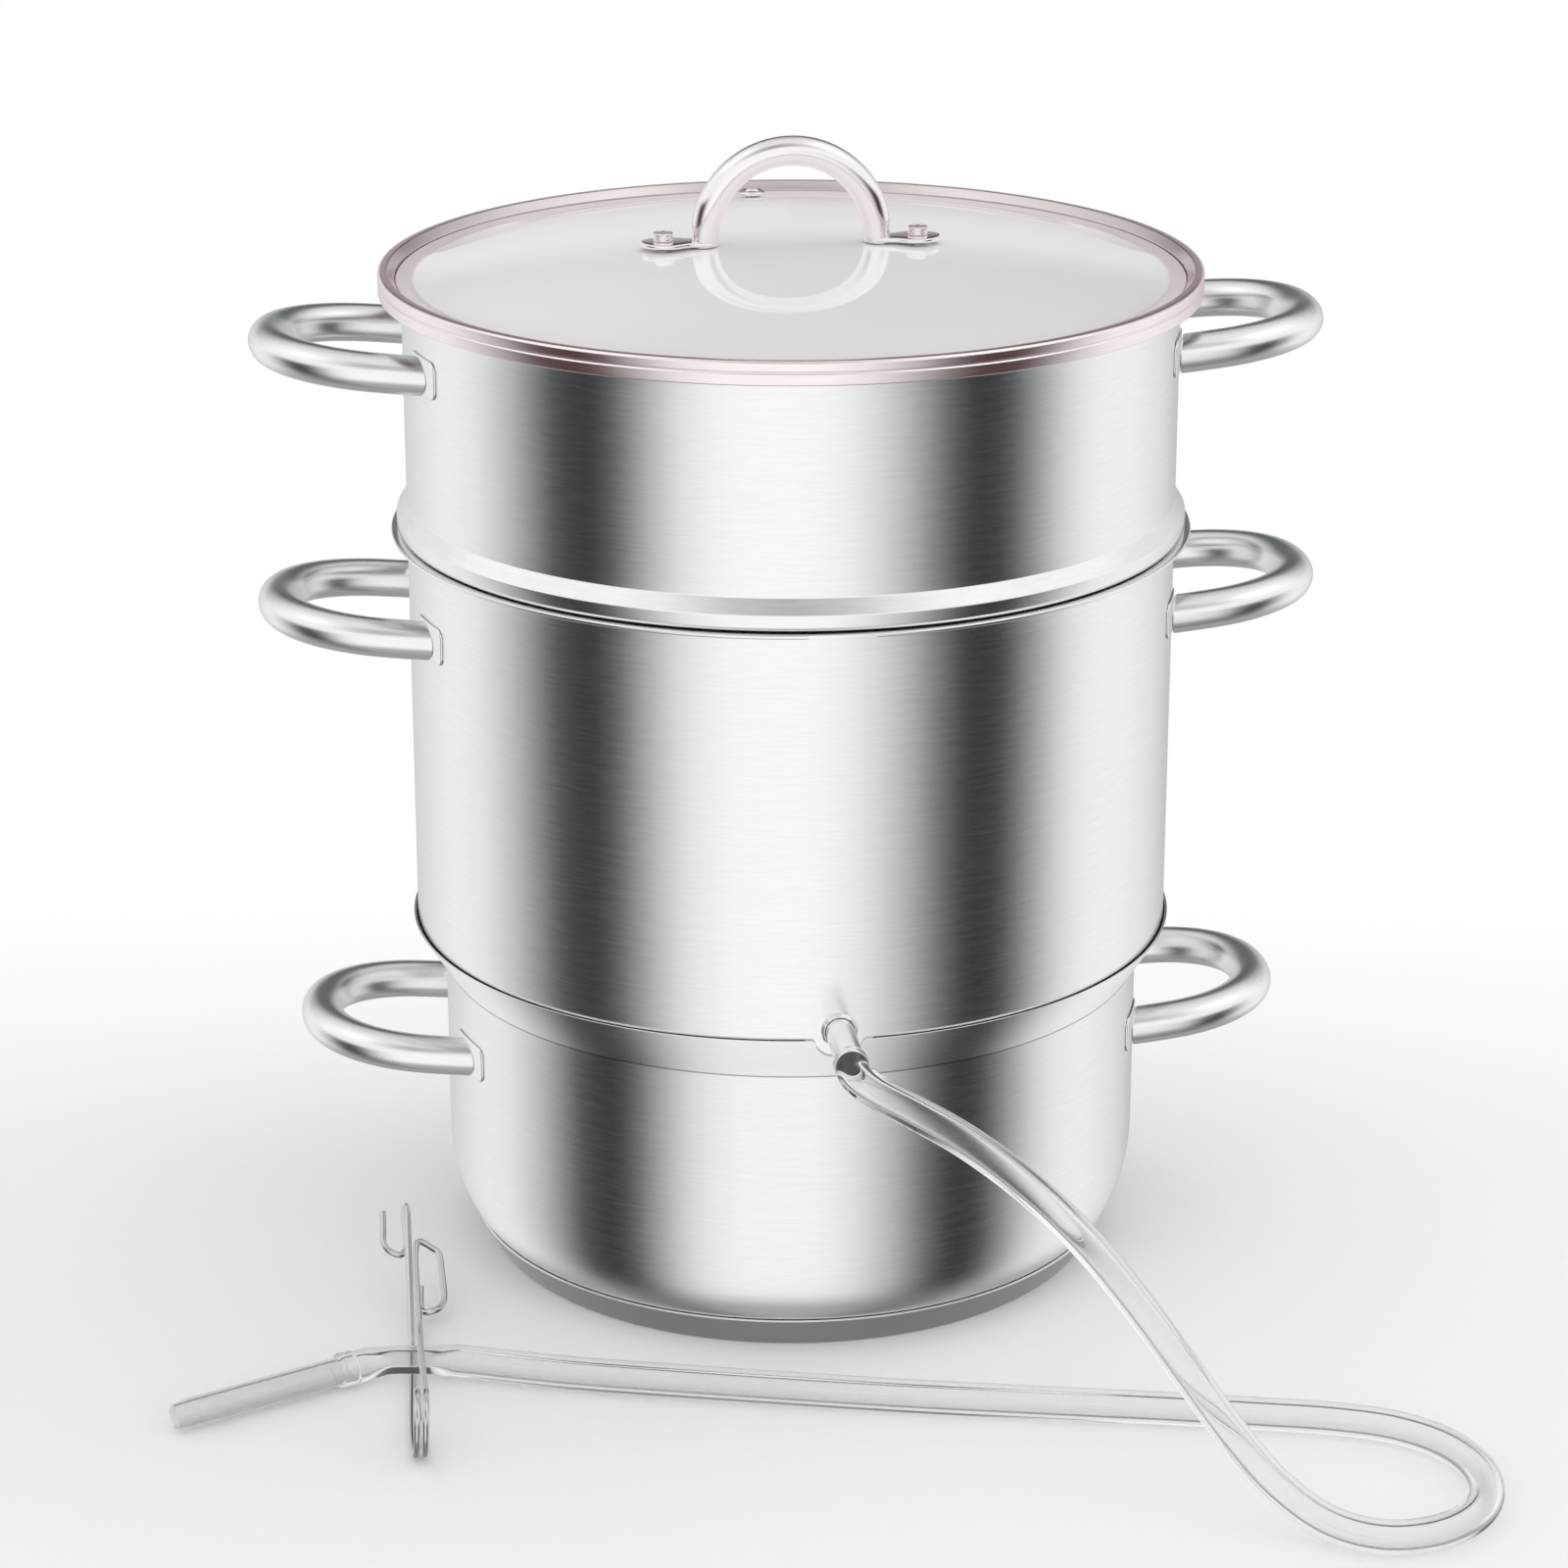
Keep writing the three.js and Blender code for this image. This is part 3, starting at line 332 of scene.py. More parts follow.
def brushedMetal(name, tint, roughness, streak=90.0, fine=2600.0, depth=0.08, contrast=0.05, film=0.0,
                 steady=0.0, strip=None, paintedLines=(), insideShade=None):
    material, tree = newTree(name)
    place = objectPlace(tree)
    x, y, z = splitAxes(tree, place)
    radius = (x * x + y * y) ** 0.5
    drawn = (z + radius) * fine
    grain = noise(tree, joinAxes(tree, x * streak, y * streak, drawn), 1.0, 3.0, 0.62)
    coarse = streak * brushedSetup["coarse"]
    bands = noise(tree, joinAxes(tree, x * coarse, y * coarse, drawn * brushedSetup["slow"]), 1.0)
    clouds = noise(tree, place, brushedSetup["clouds"])
    lift = grain * brushedSetup["grainShare"] + bands * brushedSetup["bandShare"]
    tone = grainTone(tree, lift, shade(tint, 1.0 - contrast), shade(tint, 1.02))
    # painted lines: a dark one is painted shade, a light one a painted highlight
    for height, half, share in paintedLines:
        line = (z - height).maths("ABSOLUTE").smooth(half * brushedSetup["lineCore"], half)
        tone = mixColours(tree, line, shade(tint, share), tone)
    if insideShade:
        # painted shade on the face inside the band: darker within a radius and above a height
        within, above, share = insideShade
        aside, up = brushedSetup["insideShadeEdge"]
        paintedInsideShade = (1.0 - radius.smooth(within, within + aside)) * z.smooth(above, above + up)
        tone = mixColours(tree, paintedInsideShade, tone, shade(tint, share))
    quick, slow = brushedSetup["waver"]
    rough = (lift - 0.5) * quick + (clouds - 0.5) * slow + roughness
    normal = None
    if steady:
        share = z.smooth(*brushedSetup["steadyFrom"]) * steady
        if strip:
            # only in a strip at the front
            outside = x.maths("ABSOLUTE").smooth(strip, strip + brushedSetup["stripEdge"])
            share = share * (1.0 - outside) * (0.0 - y).smooth(*brushedSetup["front"])
        normal = steadyNormal(tree, x, y, share)
    return finished(material, metalSkin(tree, tone, rough, relief(tree, lift, depth, normal=normal), film))


# Leans the shading of a pot's outside towards the upright, as its polished bends show it
def steadyNormal(tree, x, y, share):
    level = vectorMaths(tree, "NORMALIZE", joinAxes(tree, x, y))
    skin = addNode(tree, "ShaderNodeNewGeometry", None, None, 1)
    facing = dotProduct(tree, skin, level).smooth(*brushedSetup["facing"])
    mixed = addNode(tree, "ShaderNodeMix", {"data_type": "VECTOR"}, {0: facing * share, 4: skin, 5: level}, 1)
    return vectorMaths(tree, "NORMALIZE", mixed)


# Grain drawn out along a bent piece, on its own UV map
def lengthGrain(tree, along, around, detail=2.0, roughness=0.5):
    u, v, _ = splitAxes(tree, addNode(tree, "ShaderNodeUVMap", {"uv_map": "UVMap"}))
    return noise(tree, joinAxes(tree, u * along, v * around), 1.0, detail, roughness)


# Bent tube and rod: the polishing lines run along the piece
satinSetup = {"grain": (60.0, 140.0), "clouds": 60.0, "waver": (0.1, 0.08)}


def satinMetal(name, tint, roughness, depth=0.06, contrast=0.05, film=0.0):
    material, tree = newTree(name)
    grain = lengthGrain(tree, *satinSetup["grain"], 3.0, 0.6)
    clouds = noise(tree, objectPlace(tree), satinSetup["clouds"], 3.0)
    tone = grainTone(tree, grain, shade(tint, 1.0 - contrast), shade(tint, 1.02))
    quick, slow = satinSetup["waver"]
    rough = (grain - 0.5) * quick + (clouds - 0.5) * slow + roughness
    return finished(material, metalSkin(tree, tone, rough, relief(tree, grain, depth), film))


# Small turned or stamped metal: faint tool marks and tone changes in every direction
toolSetup = {"marks": 1400.0, "tones": 90.0, "dark": 0.94, "waver": 0.12, "depth": 0.08}


def turnedMetal(name, tint, roughness, film=0.0):
    material, tree = newTree(name)
    place = objectPlace(tree)
    marks = noise(tree, place, toolSetup["marks"], 3.0)
    tone = grainTone(tree, noise(tree, place, toolSetup["tones"]), shade(tint, toolSetup["dark"]), tint)
    rough = (marks - 0.5) * toolSetup["waver"] + roughness
    normal = relief(tree, marks, toolSetup["depth"], fineRelief)
    return finished(material, metalSkin(tree, tone, rough, normal, film))


# Pale tempered glass: a milky body with a little seen through it, and a hard gloss
lidGlassSetup = {
    "tones": ((0.965, 0.94, 0.944), (0.98, 0.955, 0.959)), "clouds": 9.0,
    "near": (-0.01, 0.12), "shadeAside": 0.35, "shadeShare": 0.8, "shadeTone": (0.80, 0.78, 0.784),
    "edge": (0.1262, 0.1276), "bandReflectionTone": (0.77, 0.69, 0.695),
    "surface": {"Roughness": 0.035, "IOR": 1.45, "Alpha": 0.93},
}


def lidGlassMaterial():
    material, tree = newTree("lidGlass")
    place = objectPlace(tree)
    tone = grainTone(tree, noise(tree, place, lidGlassSetup["clouds"]), *lidGlassSetup["tones"])
    x, y, _ = splitAxes(tree, place)
    # painted shade: the glass is darker towards the front and the right
    near = (x * lidGlassSetup["shadeAside"] - y).smooth(*lidGlassSetup["near"]) * lidGlassSetup["shadeShare"]
    tone = mixColours(tree, near, tone, lidGlassSetup["shadeTone"])
    edge = ((x * x + y * y) ** 0.5).smooth(*lidGlassSetup["edge"])  # painted reflection of the pink band, round the glass's edge
    tone = mixColours(tree, edge, tone, lidGlassSetup["bandReflectionTone"])
    surface = {"Base Color": tone, **lidGlassSetup["surface"]}
    return finished(material, addNode(tree, "ShaderNodeBsdfPrincipled", None, surface))


# Clear silicone: thin, hardly cloudy, with the faint length lines of its drawing.
# Light goes straight through it to its shadow
siliconeSetup = {
    "grain": (24.0, 60.0), "tint": (0.965, 0.973, 0.973), "dark": 0.96, "roughness": 0.03, "waver": 0.06,
    "surface": {"IOR": 1.185, "Transmission Weight": 0.98}, "shadow": (0.93, 0.935, 0.935),
}


def clearSilicone():
    material, tree = newTree("clearHose")
    drawn, tint = lengthGrain(tree, *siliconeSetup["grain"]), siliconeSetup["tint"]
    skin = addNode(tree, "ShaderNodeBsdfPrincipled", None, {
        "Base Color": grainTone(tree, drawn, shade(tint, siliconeSetup["dark"]), tint),
        "Roughness": (drawn - 0.5) * siliconeSetup["waver"] + siliconeSetup["roughness"],
        **siliconeSetup["surface"]})
    through = addNode(tree, "ShaderNodeBsdfTransparent", None, {"Color": siliconeSetup["shadow"]})
    [shadow] = addNode(tree, "ShaderNodeLightPath", None, None, ["Is Shadow Ray"])
    return finished(material, addNode(tree, "ShaderNodeMixShader", None, {0: shadow, 1: skin, 2: through}))


# Moulded stuff with a fine grain: tones, size of grain, depth, and what the surface is like
def mouldedStuff(name, low, high, scale, depth, waver, roughness, mix=None, **surface):
    material, tree = newTree(name)
    grain = noise(tree, objectPlace(tree), scale, 3.0)
    tone = mixColours(tree, grain.smooth(*mix) if mix else grain, low, high)
    return finished(material, addNode(tree, "ShaderNodeBsdfPrincipled", None, {
        "Base Color": tone, "Roughness": (grain - 0.5) * waver + roughness,
        "Normal": relief(tree, grain, depth, fineRelief), **surface}))


wallSetup = {"tint": (0.885, 0.890, 0.892), "roughness": 0.205, "streak": 120.0, "contrast": 0.04}
finishes = {
    "wall": brushedMetal("brushedWall", **wallSetup),
    "kettle": brushedMetal("brushedKettle", **wallSetup, steady=1.0, strip=0.0105),
    # the pan's tint, darker than the wall's, is painted shade near the floor, and its dark line at the
    # flare's bend is painted shade
    "pan": brushedMetal("shadedBrushedPan", **{**wallSetup, "tint": (0.855, 0.862, 0.865)}, steady=0.85,
                        paintedLines=[(0.1043, 0.00045, 0.45)]),
    "inside": brushedMetal("brushedBase", (0.80, 0.815, 0.82), 0.30, streak=60.0, fine=1500.0),
    # the cap's light line along its rounded top edge is a painted highlight
    "cap": brushedMetal("dullCap", (0.505, 0.515, 0.52), 0.5, depth=0.05, paintedLines=[(0.0114, 0.0007, 1.75)]),
    "core": brushedMetal("pressedAluminium", (0.76, 0.77, 0.78), 0.42, streak=40.0, fine=900.0),
    "handle": satinMetal("satinHandle", (0.90, 0.905, 0.907), 0.26),
    # the lid's face inside its band is darkened: painted shade
    "lid": brushedMetal("roseLid", (0.93, 0.90, 0.903), 0.16, streak=70.0, fine=2200.0, depth=0.05,
                        contrast=0.04, film=0.075, insideShade=(0.1354, 0.3453, 0.72)),
    "lidHandle": satinMetal("roseHandle", (0.92, 0.915, 0.918), 0.12, depth=0.03, contrast=0.03, film=0.05),
    "fixing": turnedMetal("roseFixing", (0.91, 0.905, 0.908), 0.10, film=0.06),
    "vent": turnedMetal("brightVent", (0.88, 0.88, 0.88), 0.14, film=0.03),
    "spout": turnedMetal("brightSpout", (0.90, 0.905, 0.905), 0.15),
    "collar": turnedMetal("groundWeld", (0.93, 0.935, 0.935), 0.42),
    "wire": satinMetal("springWire", (0.58, 0.59, 0.592), 0.08, depth=0.03, contrast=0.04),
    "hose": clearSilicone(),
    "nozzle": mouldedStuff("cloudyPlastic", (0.90, 0.915, 0.915), (0.95, 0.962, 0.962), 320.0, 0.06, 0.06,
                           0.14, mix=grainSpread, **{"IOR": 1.35, "Transmission Weight": 0.82}),
    "rubber": mouldedStuff("softRubber", (0.44, 0.44, 0.42), (0.50, 0.50, 0.48), 900.0, 0.15, 0.1, 0.6),
    "glass": lidGlassMaterial(),
}
print("finishes mixed:", len(finishes))


crisp = 42.0  # an edge whose faces differ by more degrees stays sharp
tiny = 1e-6  # shorter lengths count as nothing


# Mesh work. Faces point outwards
@contextmanager
def worked(mesh):
    work = bmesh.new()
    work.from_mesh(mesh)
    yield work
    work.to_mesh(mesh)
    work.free()


def fillMesh(name, points, faces, limit=crisp):
    mesh = bpy.data.meshes.new(name)
    mesh.from_pydata([Vector(point) * mm for point in points], [], faces)
    mesh.update()
    shadeMesh(mesh, limit)
    return mesh


def shadeMesh(mesh, limit=crisp):
    with worked(mesh) as work:
        for face in work.faces:
            face.smooth = True
        for edge in work.edges:
            edge.smooth = edge.calc_face_angle(0.0) < radians(limit)


# Corners within "straight" radians of a line stay as they are, an arc takes up at most
# "share" of the lines beside it, and its points are at most "step" degrees apart
cornerSetup = {"straight": 0.03, "share": 0.48, "step": 9.0}


def softCorners(outline, closed=True):
    # an outline of (radius, height, round) with each corner turned into an arc
    result = []
    count = len(outline)
    for i, (x, z, size) in enumerate(outline):
        corner = Vector((x, z))
        before, after = outline[i - 1], outline[(i + 1) % count]
        a = Vector((before[0], before[1])) - corner
        b = Vector((after[0], after[1])) - corner
        ends = not closed and i in (0, count - 1)
        bare = size <= 0 or ends or min(a.length, b.length) < tiny
        u, v = a.normalized(), b.normalized()
        inside = pi if bare else u.angle(v)
        if inside > pi - cornerSetup["straight"]:
            result.append((x, z))
            continue
        reach = min(size / tan(inside / 2), cornerSetup["share"] * a.length, cornerSetup["share"] * b.length)
        radius = reach * tan(inside / 2)
        centre = corner + (u + v).normalized() * (radius / sin(inside / 2))
        start, end = corner + u * reach - centre, corner + v * reach - centre
        angle = atan2(start.x * end.y - start.y * end.x, start.dot(end))
        steps = max(2, ceil(abs(angle) / radians(cornerSetup["step"])))
        for k in range(steps + 1):
            here = angle * k / steps
            result.append((centre.x + start.x * cos(here) - start.y * sin(here),
                           centre.y + start.x * sin(here) + start.y * cos(here)))
    return result


def offsetLine(line, distance):
    moved = []
    last = len(line) - 1
    for i, (x, z, size) in enumerate(line):
        here = Vector((x, z))
        into = (here - Vector(line[i - 1][:2])).normalized() if i else None
        out = (Vector(line[i + 1][:2]) - here).normalized() if i < last else into
        into = into or out
        side = Vector((-into.y - out.y, into.x + out.x)).normalized()
        # at most twice the distance, at a sharp corner
        stretch = distance / max(side.dot(Vector((-into.y, into.x))), 0.5)
        moved.append((x + side.x * stretch, z + side.y * stretch, size))
    return moved


easedEdge = 0.42


def sheetOutline(line, thickness):
    # the closed outline of a sheet on the left of a line, with eased free edges
    inner = offsetLine(line, thickness)[::-1]
    outline = list(line) + inner
    for number in (0, len(line) - 1, len(line), len(outline) - 1):
        x, z, _ = outline[number]
        outline[number] = (x, z, 0 if x < 0.01 else easedEdge)
    return outline


def arcPoints(centre, radii, start, end, steps):
    points = []
    for i in range(steps + 1):
        angle = radians(start + (end - start) * i / steps)
        points.append((centre[0] + radii[0] * cos(angle), centre[1] + radii[1] * sin(angle), 0))
    return points


def splitLong(outline, limit):
    result = []
    for i, point in enumerate(outline):
        after = outline[(i + 1) % len(outline)]
        result.append(point)
        far = hypot(after[0] - point[0], after[1] - point[1])
        if abs(point[0]) < tiny and abs(after[0]) < tiny:
            continue  # on the axis
        for k in range(1, ceil(far / limit)):
            share = k / ceil(far / limit)
            result.append(tuple(a + (b - a) * share for a, b in zip(point, after)))
    return result


def turnedMesh(name, outline, segments=288, limit=crisp, rows=None, place=None):
    # a solid turned round Z from its closed outline of (radius, height)
    area = sum(a[0] * b[1] - b[0] * a[1] for a, b in zip(outline, outline[1:] + outline[:1]))
    outline = outline[::-1] if area < 0 else list(outline)
    if rows:
        outline = splitLong(outline, rows)
    points, starts = [], []
    for radius, height in outline:
        starts.append(len(points))
        if radius < tiny:
            points.append((0.0, 0.0, height))
            continue
        for k in range(segments):
            angle = 2 * pi * k / segments
            points.append((radius * cos(angle), radius * sin(angle), height))
    faces = []
    for i in range(len(outline)):
        j = (i + 1) % len(outline)
        lowPole, highPole = outline[i][0] < tiny, outline[j][0] < tiny
        if lowPole and highPole:
            continue
        for k in range(segments):
            m = (k + 1) % segments
            a, b = starts[i] + (0 if lowPole else k), starts[i] + (0 if lowPole else m)
            c, d = starts[j] + (0 if highPole else m), starts[j] + (0 if highPole else k)
            faces.append((a, c, d) if lowPole else (a, b, c) if highPole else (a, b, c, d))
    if place:
        points = [place @ Vector(point) for point in points]
    return fillMesh(name, points, faces, limit)


def plainMesh(thing, name):
    # the evaluated shape as a mesh of its own, with the modifiers taken away
    depsgraph = bpy.context.evaluated_depsgraph_get()
    shape = thing.evaluated_get(depsgraph)
    mesh = bpy.data.meshes.new_from_object(shape, preserve_all_data_layers=True, depsgraph=depsgraph)
    mesh.name = name
    old = thing.data
    bpy.data.objects.remove(thing, do_unlink=True)
    if old.users == 0 and isinstance(old, bpy.types.Mesh):
        bpy.data.meshes.remove(old)
    return mesh


def cutMesh(mesh, *cutters):
    thing = linked("cutting", mesh)
    tools = [linked("cutter", cutter) for cutter in cutters]
    for tool in tools:
        cut = thing.modifiers.new("cut", "BOOLEAN")
        cut.operation, cut.solver, cut.object = "DIFFERENCE", "EXACT", tool
    result = plainMesh(thing, mesh.name)
    for tool, cutter in zip(tools, cutters):
        bpy.data.objects.remove(tool, do_unlink=True)
        bpy.data.meshes.remove(cutter)
    joinNear(result)
    shadeMesh(result)
    return result


def joinNear(mesh, apart=2e-6, sliver=1e-7):
    # a cut can leave corners a hair apart, and slivers between them
    with worked(mesh) as work:
        bmesh.ops.remove_doubles(work, verts=work.verts, dist=apart)
        bmesh.ops.dissolve_degenerate(work, dist=sliver, edges=work.edges)


def barMesh(radius, start, end, sides=64):
    # a round bar between two places, for cutting
    way = Vector(end) - Vector(start)
    turn = way.to_track_quat("Z", "Y").to_matrix().to_4x4()
    place = Matrix.Translation(Vector(start)) @ turn
    outline = [(0, 0), (radius, 0), (radius, way.length), (0, way.length)]
    return turnedMesh("bar", outline, sides, place=place)


def addPiece(name, mesh, finish, body, slotName, *nodes):
    # a piece with no body is left unattached
    piece = linked(name, mesh)
    mesh.materials.clear()
    mesh.materials.append(finishes[finish])
    if body:
        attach(piece, body)
    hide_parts(*nodes)
    return piece


def turnedPiece(name, outline, look, node, segments=288, **shape):
    # look is the finish, the body and the slot
    return addPiece(name, turnedMesh(name, softCorners(outline), segments, **shape), *look, node)


# Centripetal curve through given places
def smoothPath(places, step=1.0):
    points = [Vector(place) for place in places]
    first = points[0] * 2 - points[1]
    last = points[-1] * 2 - points[-2]
    chain = [first, *points, last]
    path = []
    for i in range(1, len(chain) - 2):
        p0, p1, p2, p3 = chain[i - 1:i + 3]
        d0, d1, d2 = ((b - a).length ** 0.5 for a, b in ((p0, p1), (p1, p2), (p2, p3)))
        t1 = ((p1 - p0) / d0 - (p2 - p0) / (d0 + d1) + (p2 - p1) / d1) * d1
        t2 = ((p2 - p1) / d1 - (p3 - p1) / (d1 + d2) + (p3 - p2) / d2) * d1
        count = max(1, round((p2 - p1).length / step))
        for k in range(count):
            t = k / count
            path.append(p1 + t1 * t + (p2 * 3 - p1 * 3 - t1 * 2 - t2) * t * t
                        + (p1 * 2 - p2 * 2 + t1 + t2) * t ** 3)
    path.append(points[-1])
    return path


def oval(a, b, sides, square=2.0):
    section = []
    for k in range(sides):
        angle = 2 * pi * k / sides
        c, s = cos(angle), sin(angle)
        section.append((a * abs(c) ** (2 / square) * (1 if c > 0 else -1),
                        b * abs(s) ** (2 / square) * (1 if s > 0 else -1)))
    return section


def sweptMesh(name, path, sections, reference=(0, 0, 1), bores=None, limit=crisp):
    # sections of (aside, upward) offsets carried along a path; bores makes it hollow
    count, sides = len(path), len(sections[0])
    reference = Vector(reference)
    points, travel, frames = [], [0.0], []
    for i in range(count):
        way = (path[min(i + 1, count - 1)] - path[max(i - 1, 0)]).normalized()
        aside = way.cross(reference).normalized()
        frames.append((aside, aside.cross(way)))
        if i:
            travel.append(travel[-1] + (path[i] - path[i - 1]).length)
    for skin in ([sections, bores] if bores else [sections]):
        for i in range(count):
            aside, up = frames[i]
            points += [path[i] + aside * a + up * b for a, b in skin[i]]
    faces, marks = [], []
    inner = count * sides

    def band(a, b, c, d, ua, ub, j, flip):
        low, high = j / sides, (j + 1) / sides
        marked = [(a, (ua, low)), (b, (ub, low)), (c, (ub, high)), (d, (ua, high))]
        corners, places = zip(*(marked[::-1] if flip else marked))
        faces.append(corners)
        marks.extend(places)

    for i in range(count - 1):
        ua, ub = travel[i] * mm, travel[i + 1] * mm
        for j in range(sides):
            k = (j + 1) % sides
            band(i * sides + j, (i + 1) * sides + j, (i + 1) * sides + k, i * sides + k, ua, ub, j, False)
            if bores:
                low, high = inner + i * sides, inner + (i + 1) * sides
                band(low + j, high + j, high + k, low + k, ua, ub, j, True)
    for i, flip in ((0, True), (count - 1, False)):
        u = travel[i] * mm
        if bores:
            for j in range(sides):
                k = (j + 1) % sides
                outer, inside = i * sides, inner + i * sides
                band(outer + j, inside + j, inside + k, outer + k, u, u, j, flip)
        else:
            ring = list(range(i * sides, (i + 1) * sides))
            faces.append(ring if flip else ring[::-1])
            marks.extend((u, 0.5) for _ in ring)
    mesh = fillMesh(name, points, faces, limit)
    layer = mesh.uv_layers.new(name="UVMap")
    for loop, mark in zip(layer.data, marks):
        loop.uv = mark
    return mesh


# Geometry Nodes: one tree lays copies out, one drills a plate and one draws wire
def newShapeTree(name, inputs):
    tree = bpy.data.node_groups.new(name, "GeometryNodeTree")
    tree.interface.new_socket("Geometry", in_out="OUTPUT", socket_type="NodeSocketGeometry")
    tree.interface.new_socket("Geometry", in_out="INPUT", socket_type="NodeSocketGeometry")
    for label, kind in inputs:
        tree.interface.new_socket(label, in_out="INPUT", socket_type=f"NodeSocket{kind}")
    labels = ["Geometry"] + [label for label, _ in inputs]
    return tree, dict(zip(labels, addNode(tree, "NodeGroupInput", None, None, labels)))


def endShapeTree(tree, shape, material):
    real = addNode(tree, "GeometryNodeRealizeInstances", None, {"Geometry": shape})
    smooth = addNode(tree, "GeometryNodeSetShadeSmooth", None, {"Geometry": real})
    done = addNode(tree, "GeometryNodeSetMaterial", None, {"Geometry": smooth, "Material": material})
    addNode(tree, "NodeGroupOutput", None, {0: done})


def runShapeTree(name, data, tree, values, limit=crisp):
    thing = linked(name, data)
    step = thing.modifiers.new("shape", "NODES")
    step.node_group = tree
    sockets = {item.name: item.identifier for item in tree.interface.items_tree
               if item.item_type == "SOCKET" and item.in_out == "INPUT"}
    for label, value in values.items():
        step[sockets[label]] = value
    mesh = plainMesh(thing, name)
    if limit:
        shadeMesh(mesh, limit)
    return mesh


def makeCopiesTree():
    # pairs of copies turned round the upright axis: each side has one at plus and one at
    # minus the half angle, or a single one where Ends is 1, and Aside moves them out along X
    tree, given = newShapeTree("copiesRoundTheAxis", [
        ("Sides", "Int"), ("Ends", "Int"), ("Half Angle", "Float"), ("Aside", "Float"),
        ("Metal", "Material")])
    spots = addNode(tree, "GeometryNodePoints", None, {"Count": given["Sides"] * given["Ends"]})
    number = addNode(tree, "GeometryNodeInputIndex")
    side = (number / given["Ends"]).maths("FLOOR")
    end = number % given["Ends"]
    angle = side * pi + given["Half Angle"] * (end * 2.0 - 1.0)
    spin = addNode(tree, "FunctionNodeEulerToRotation", None, {0: joinAxes(tree, z=angle)})
    out = joinAxes(tree, given["Aside"] * (1.0 - side * 2.0))
    spread = addNode(tree, "GeometryNodeSetPosition", None, {"Geometry": spots, "Offset": out})
    copies = addNode(tree, "GeometryNodeInstanceOnPoints", None,
                     {"Points": spread, "Instance": given["Geometry"], "Rotation": spin})
    endShapeTree(tree, copies, given["Metal"])
    return tree


def makeDrillTree(rings):
    # rings of round holes through a level plate
    tree, given = newShapeTree("drilledPlate", [
        ("First Ring", "Float"), ("Ring Step", "Float"), ("Hole Spacing", "Float"), ("Hole Radius", "Float"),
        ("Level", "Float"), ("Metal", "Material")])
    circles = []
    for number in range(rings):
        reach = given["First Ring"] + given["Ring Step"] * float(number)
        count = (reach * (2 * pi) / given["Hole Spacing"]).maths("FLOOR")
        circle = addNode(tree, "GeometryNodeMeshCircle", None, {"Vertices": count, "Radius": reach})
        # every other ring starts half a hole on, and each is turned a little further
        turn = joinAxes(tree, z=pi / count * float(number % 2) + 0.11 * number)
        circles.append(addNode(tree, "GeometryNodeTransform", None, {"Geometry": circle, "Rotation": turn}))
    spots = addNode(tree, "GeometryNodeJoinGeometry", None, {"Geometry": circles})
    drill = addNode(tree, "GeometryNodeMeshCylinder", None,
                    {"Vertices": 14, "Radius": given["Hole Radius"], "Depth": 0.02})
    drills = addNode(tree, "GeometryNodeInstanceOnPoints", None, {"Points": spots, "Instance": drill})
    raised = addNode(tree, "GeometryNodeTransform", None,
                     {"Geometry": drills, "Translation": joinAxes(tree, z=given["Level"])})
    real = addNode(tree, "GeometryNodeRealizeInstances", None, {"Geometry": raised})
    holes = addNode(tree, "GeometryNodeMeshBoolean", {"operation": "DIFFERENCE", "solver": "EXACT"},
                    {"Mesh 1": given["Geometry"], "Mesh 2": real})
    endShapeTree(tree, holes, given["Metal"])
    return tree


def makeWireTree():
    # a round wire along a path, with a length and a round coordinate for its finish
    tree, given = newShapeTree("drawnWire", [
        ("Wire Radius", "Float"), ("Sides", "Int"), ("Metal", "Material")])
    share, length = addNode(tree, "GeometryNodeSplineParameter", None, None, (0, 1))
    path, along = addNode(tree, "GeometryNodeCaptureAttribute", {"captured": "Length"},
                          {0: given["Geometry"], 1: length}, (0, 1))
    circle = addNode(tree, "GeometryNodeCurvePrimitiveCircle", None,
                     {"Resolution": given["Sides"], "Radius": given["Wire Radius"]})
    section, around = addNode(tree, "GeometryNodeCaptureAttribute", {"captured": "Round"},
                              {0: circle, 1: share}, (0, 1))
    skin = addNode(tree, "GeometryNodeCurveToMesh", None,
                   {"Curve": path, "Profile Curve": section, "Fill Caps": True})
    stored = addNode(tree, "GeometryNodeStoreNamedAttribute", {"data_type": "FLOAT2", "domain": "CORNER"},
                     {"Geometry": skin, "Name": "UVMap", "Value": joinAxes(tree, along, around)})
    endShapeTree(tree, stored, given["Metal"])
    return tree


copiesTree = makeCopiesTree()
wireTree = makeWireTree()
print("shape trees built")


# Water pan: the drawn shell, with a notch that the kettle's spout stands in, the pressed cap
# and the core under it
panSetup = {
    "wall": 121.5, "rim": 132.6, "top": 121.3, "flare": 104.3, "bottom": 6.8, "corner": (18.5, 35.2),
    "sheet": 1.0, "notch": 8.0, "notchRound": 2.0, "cutLift": 0.05, "cutOver": 4.0, "cutOut": 6.0,
    "cutIn": 16.0,
}


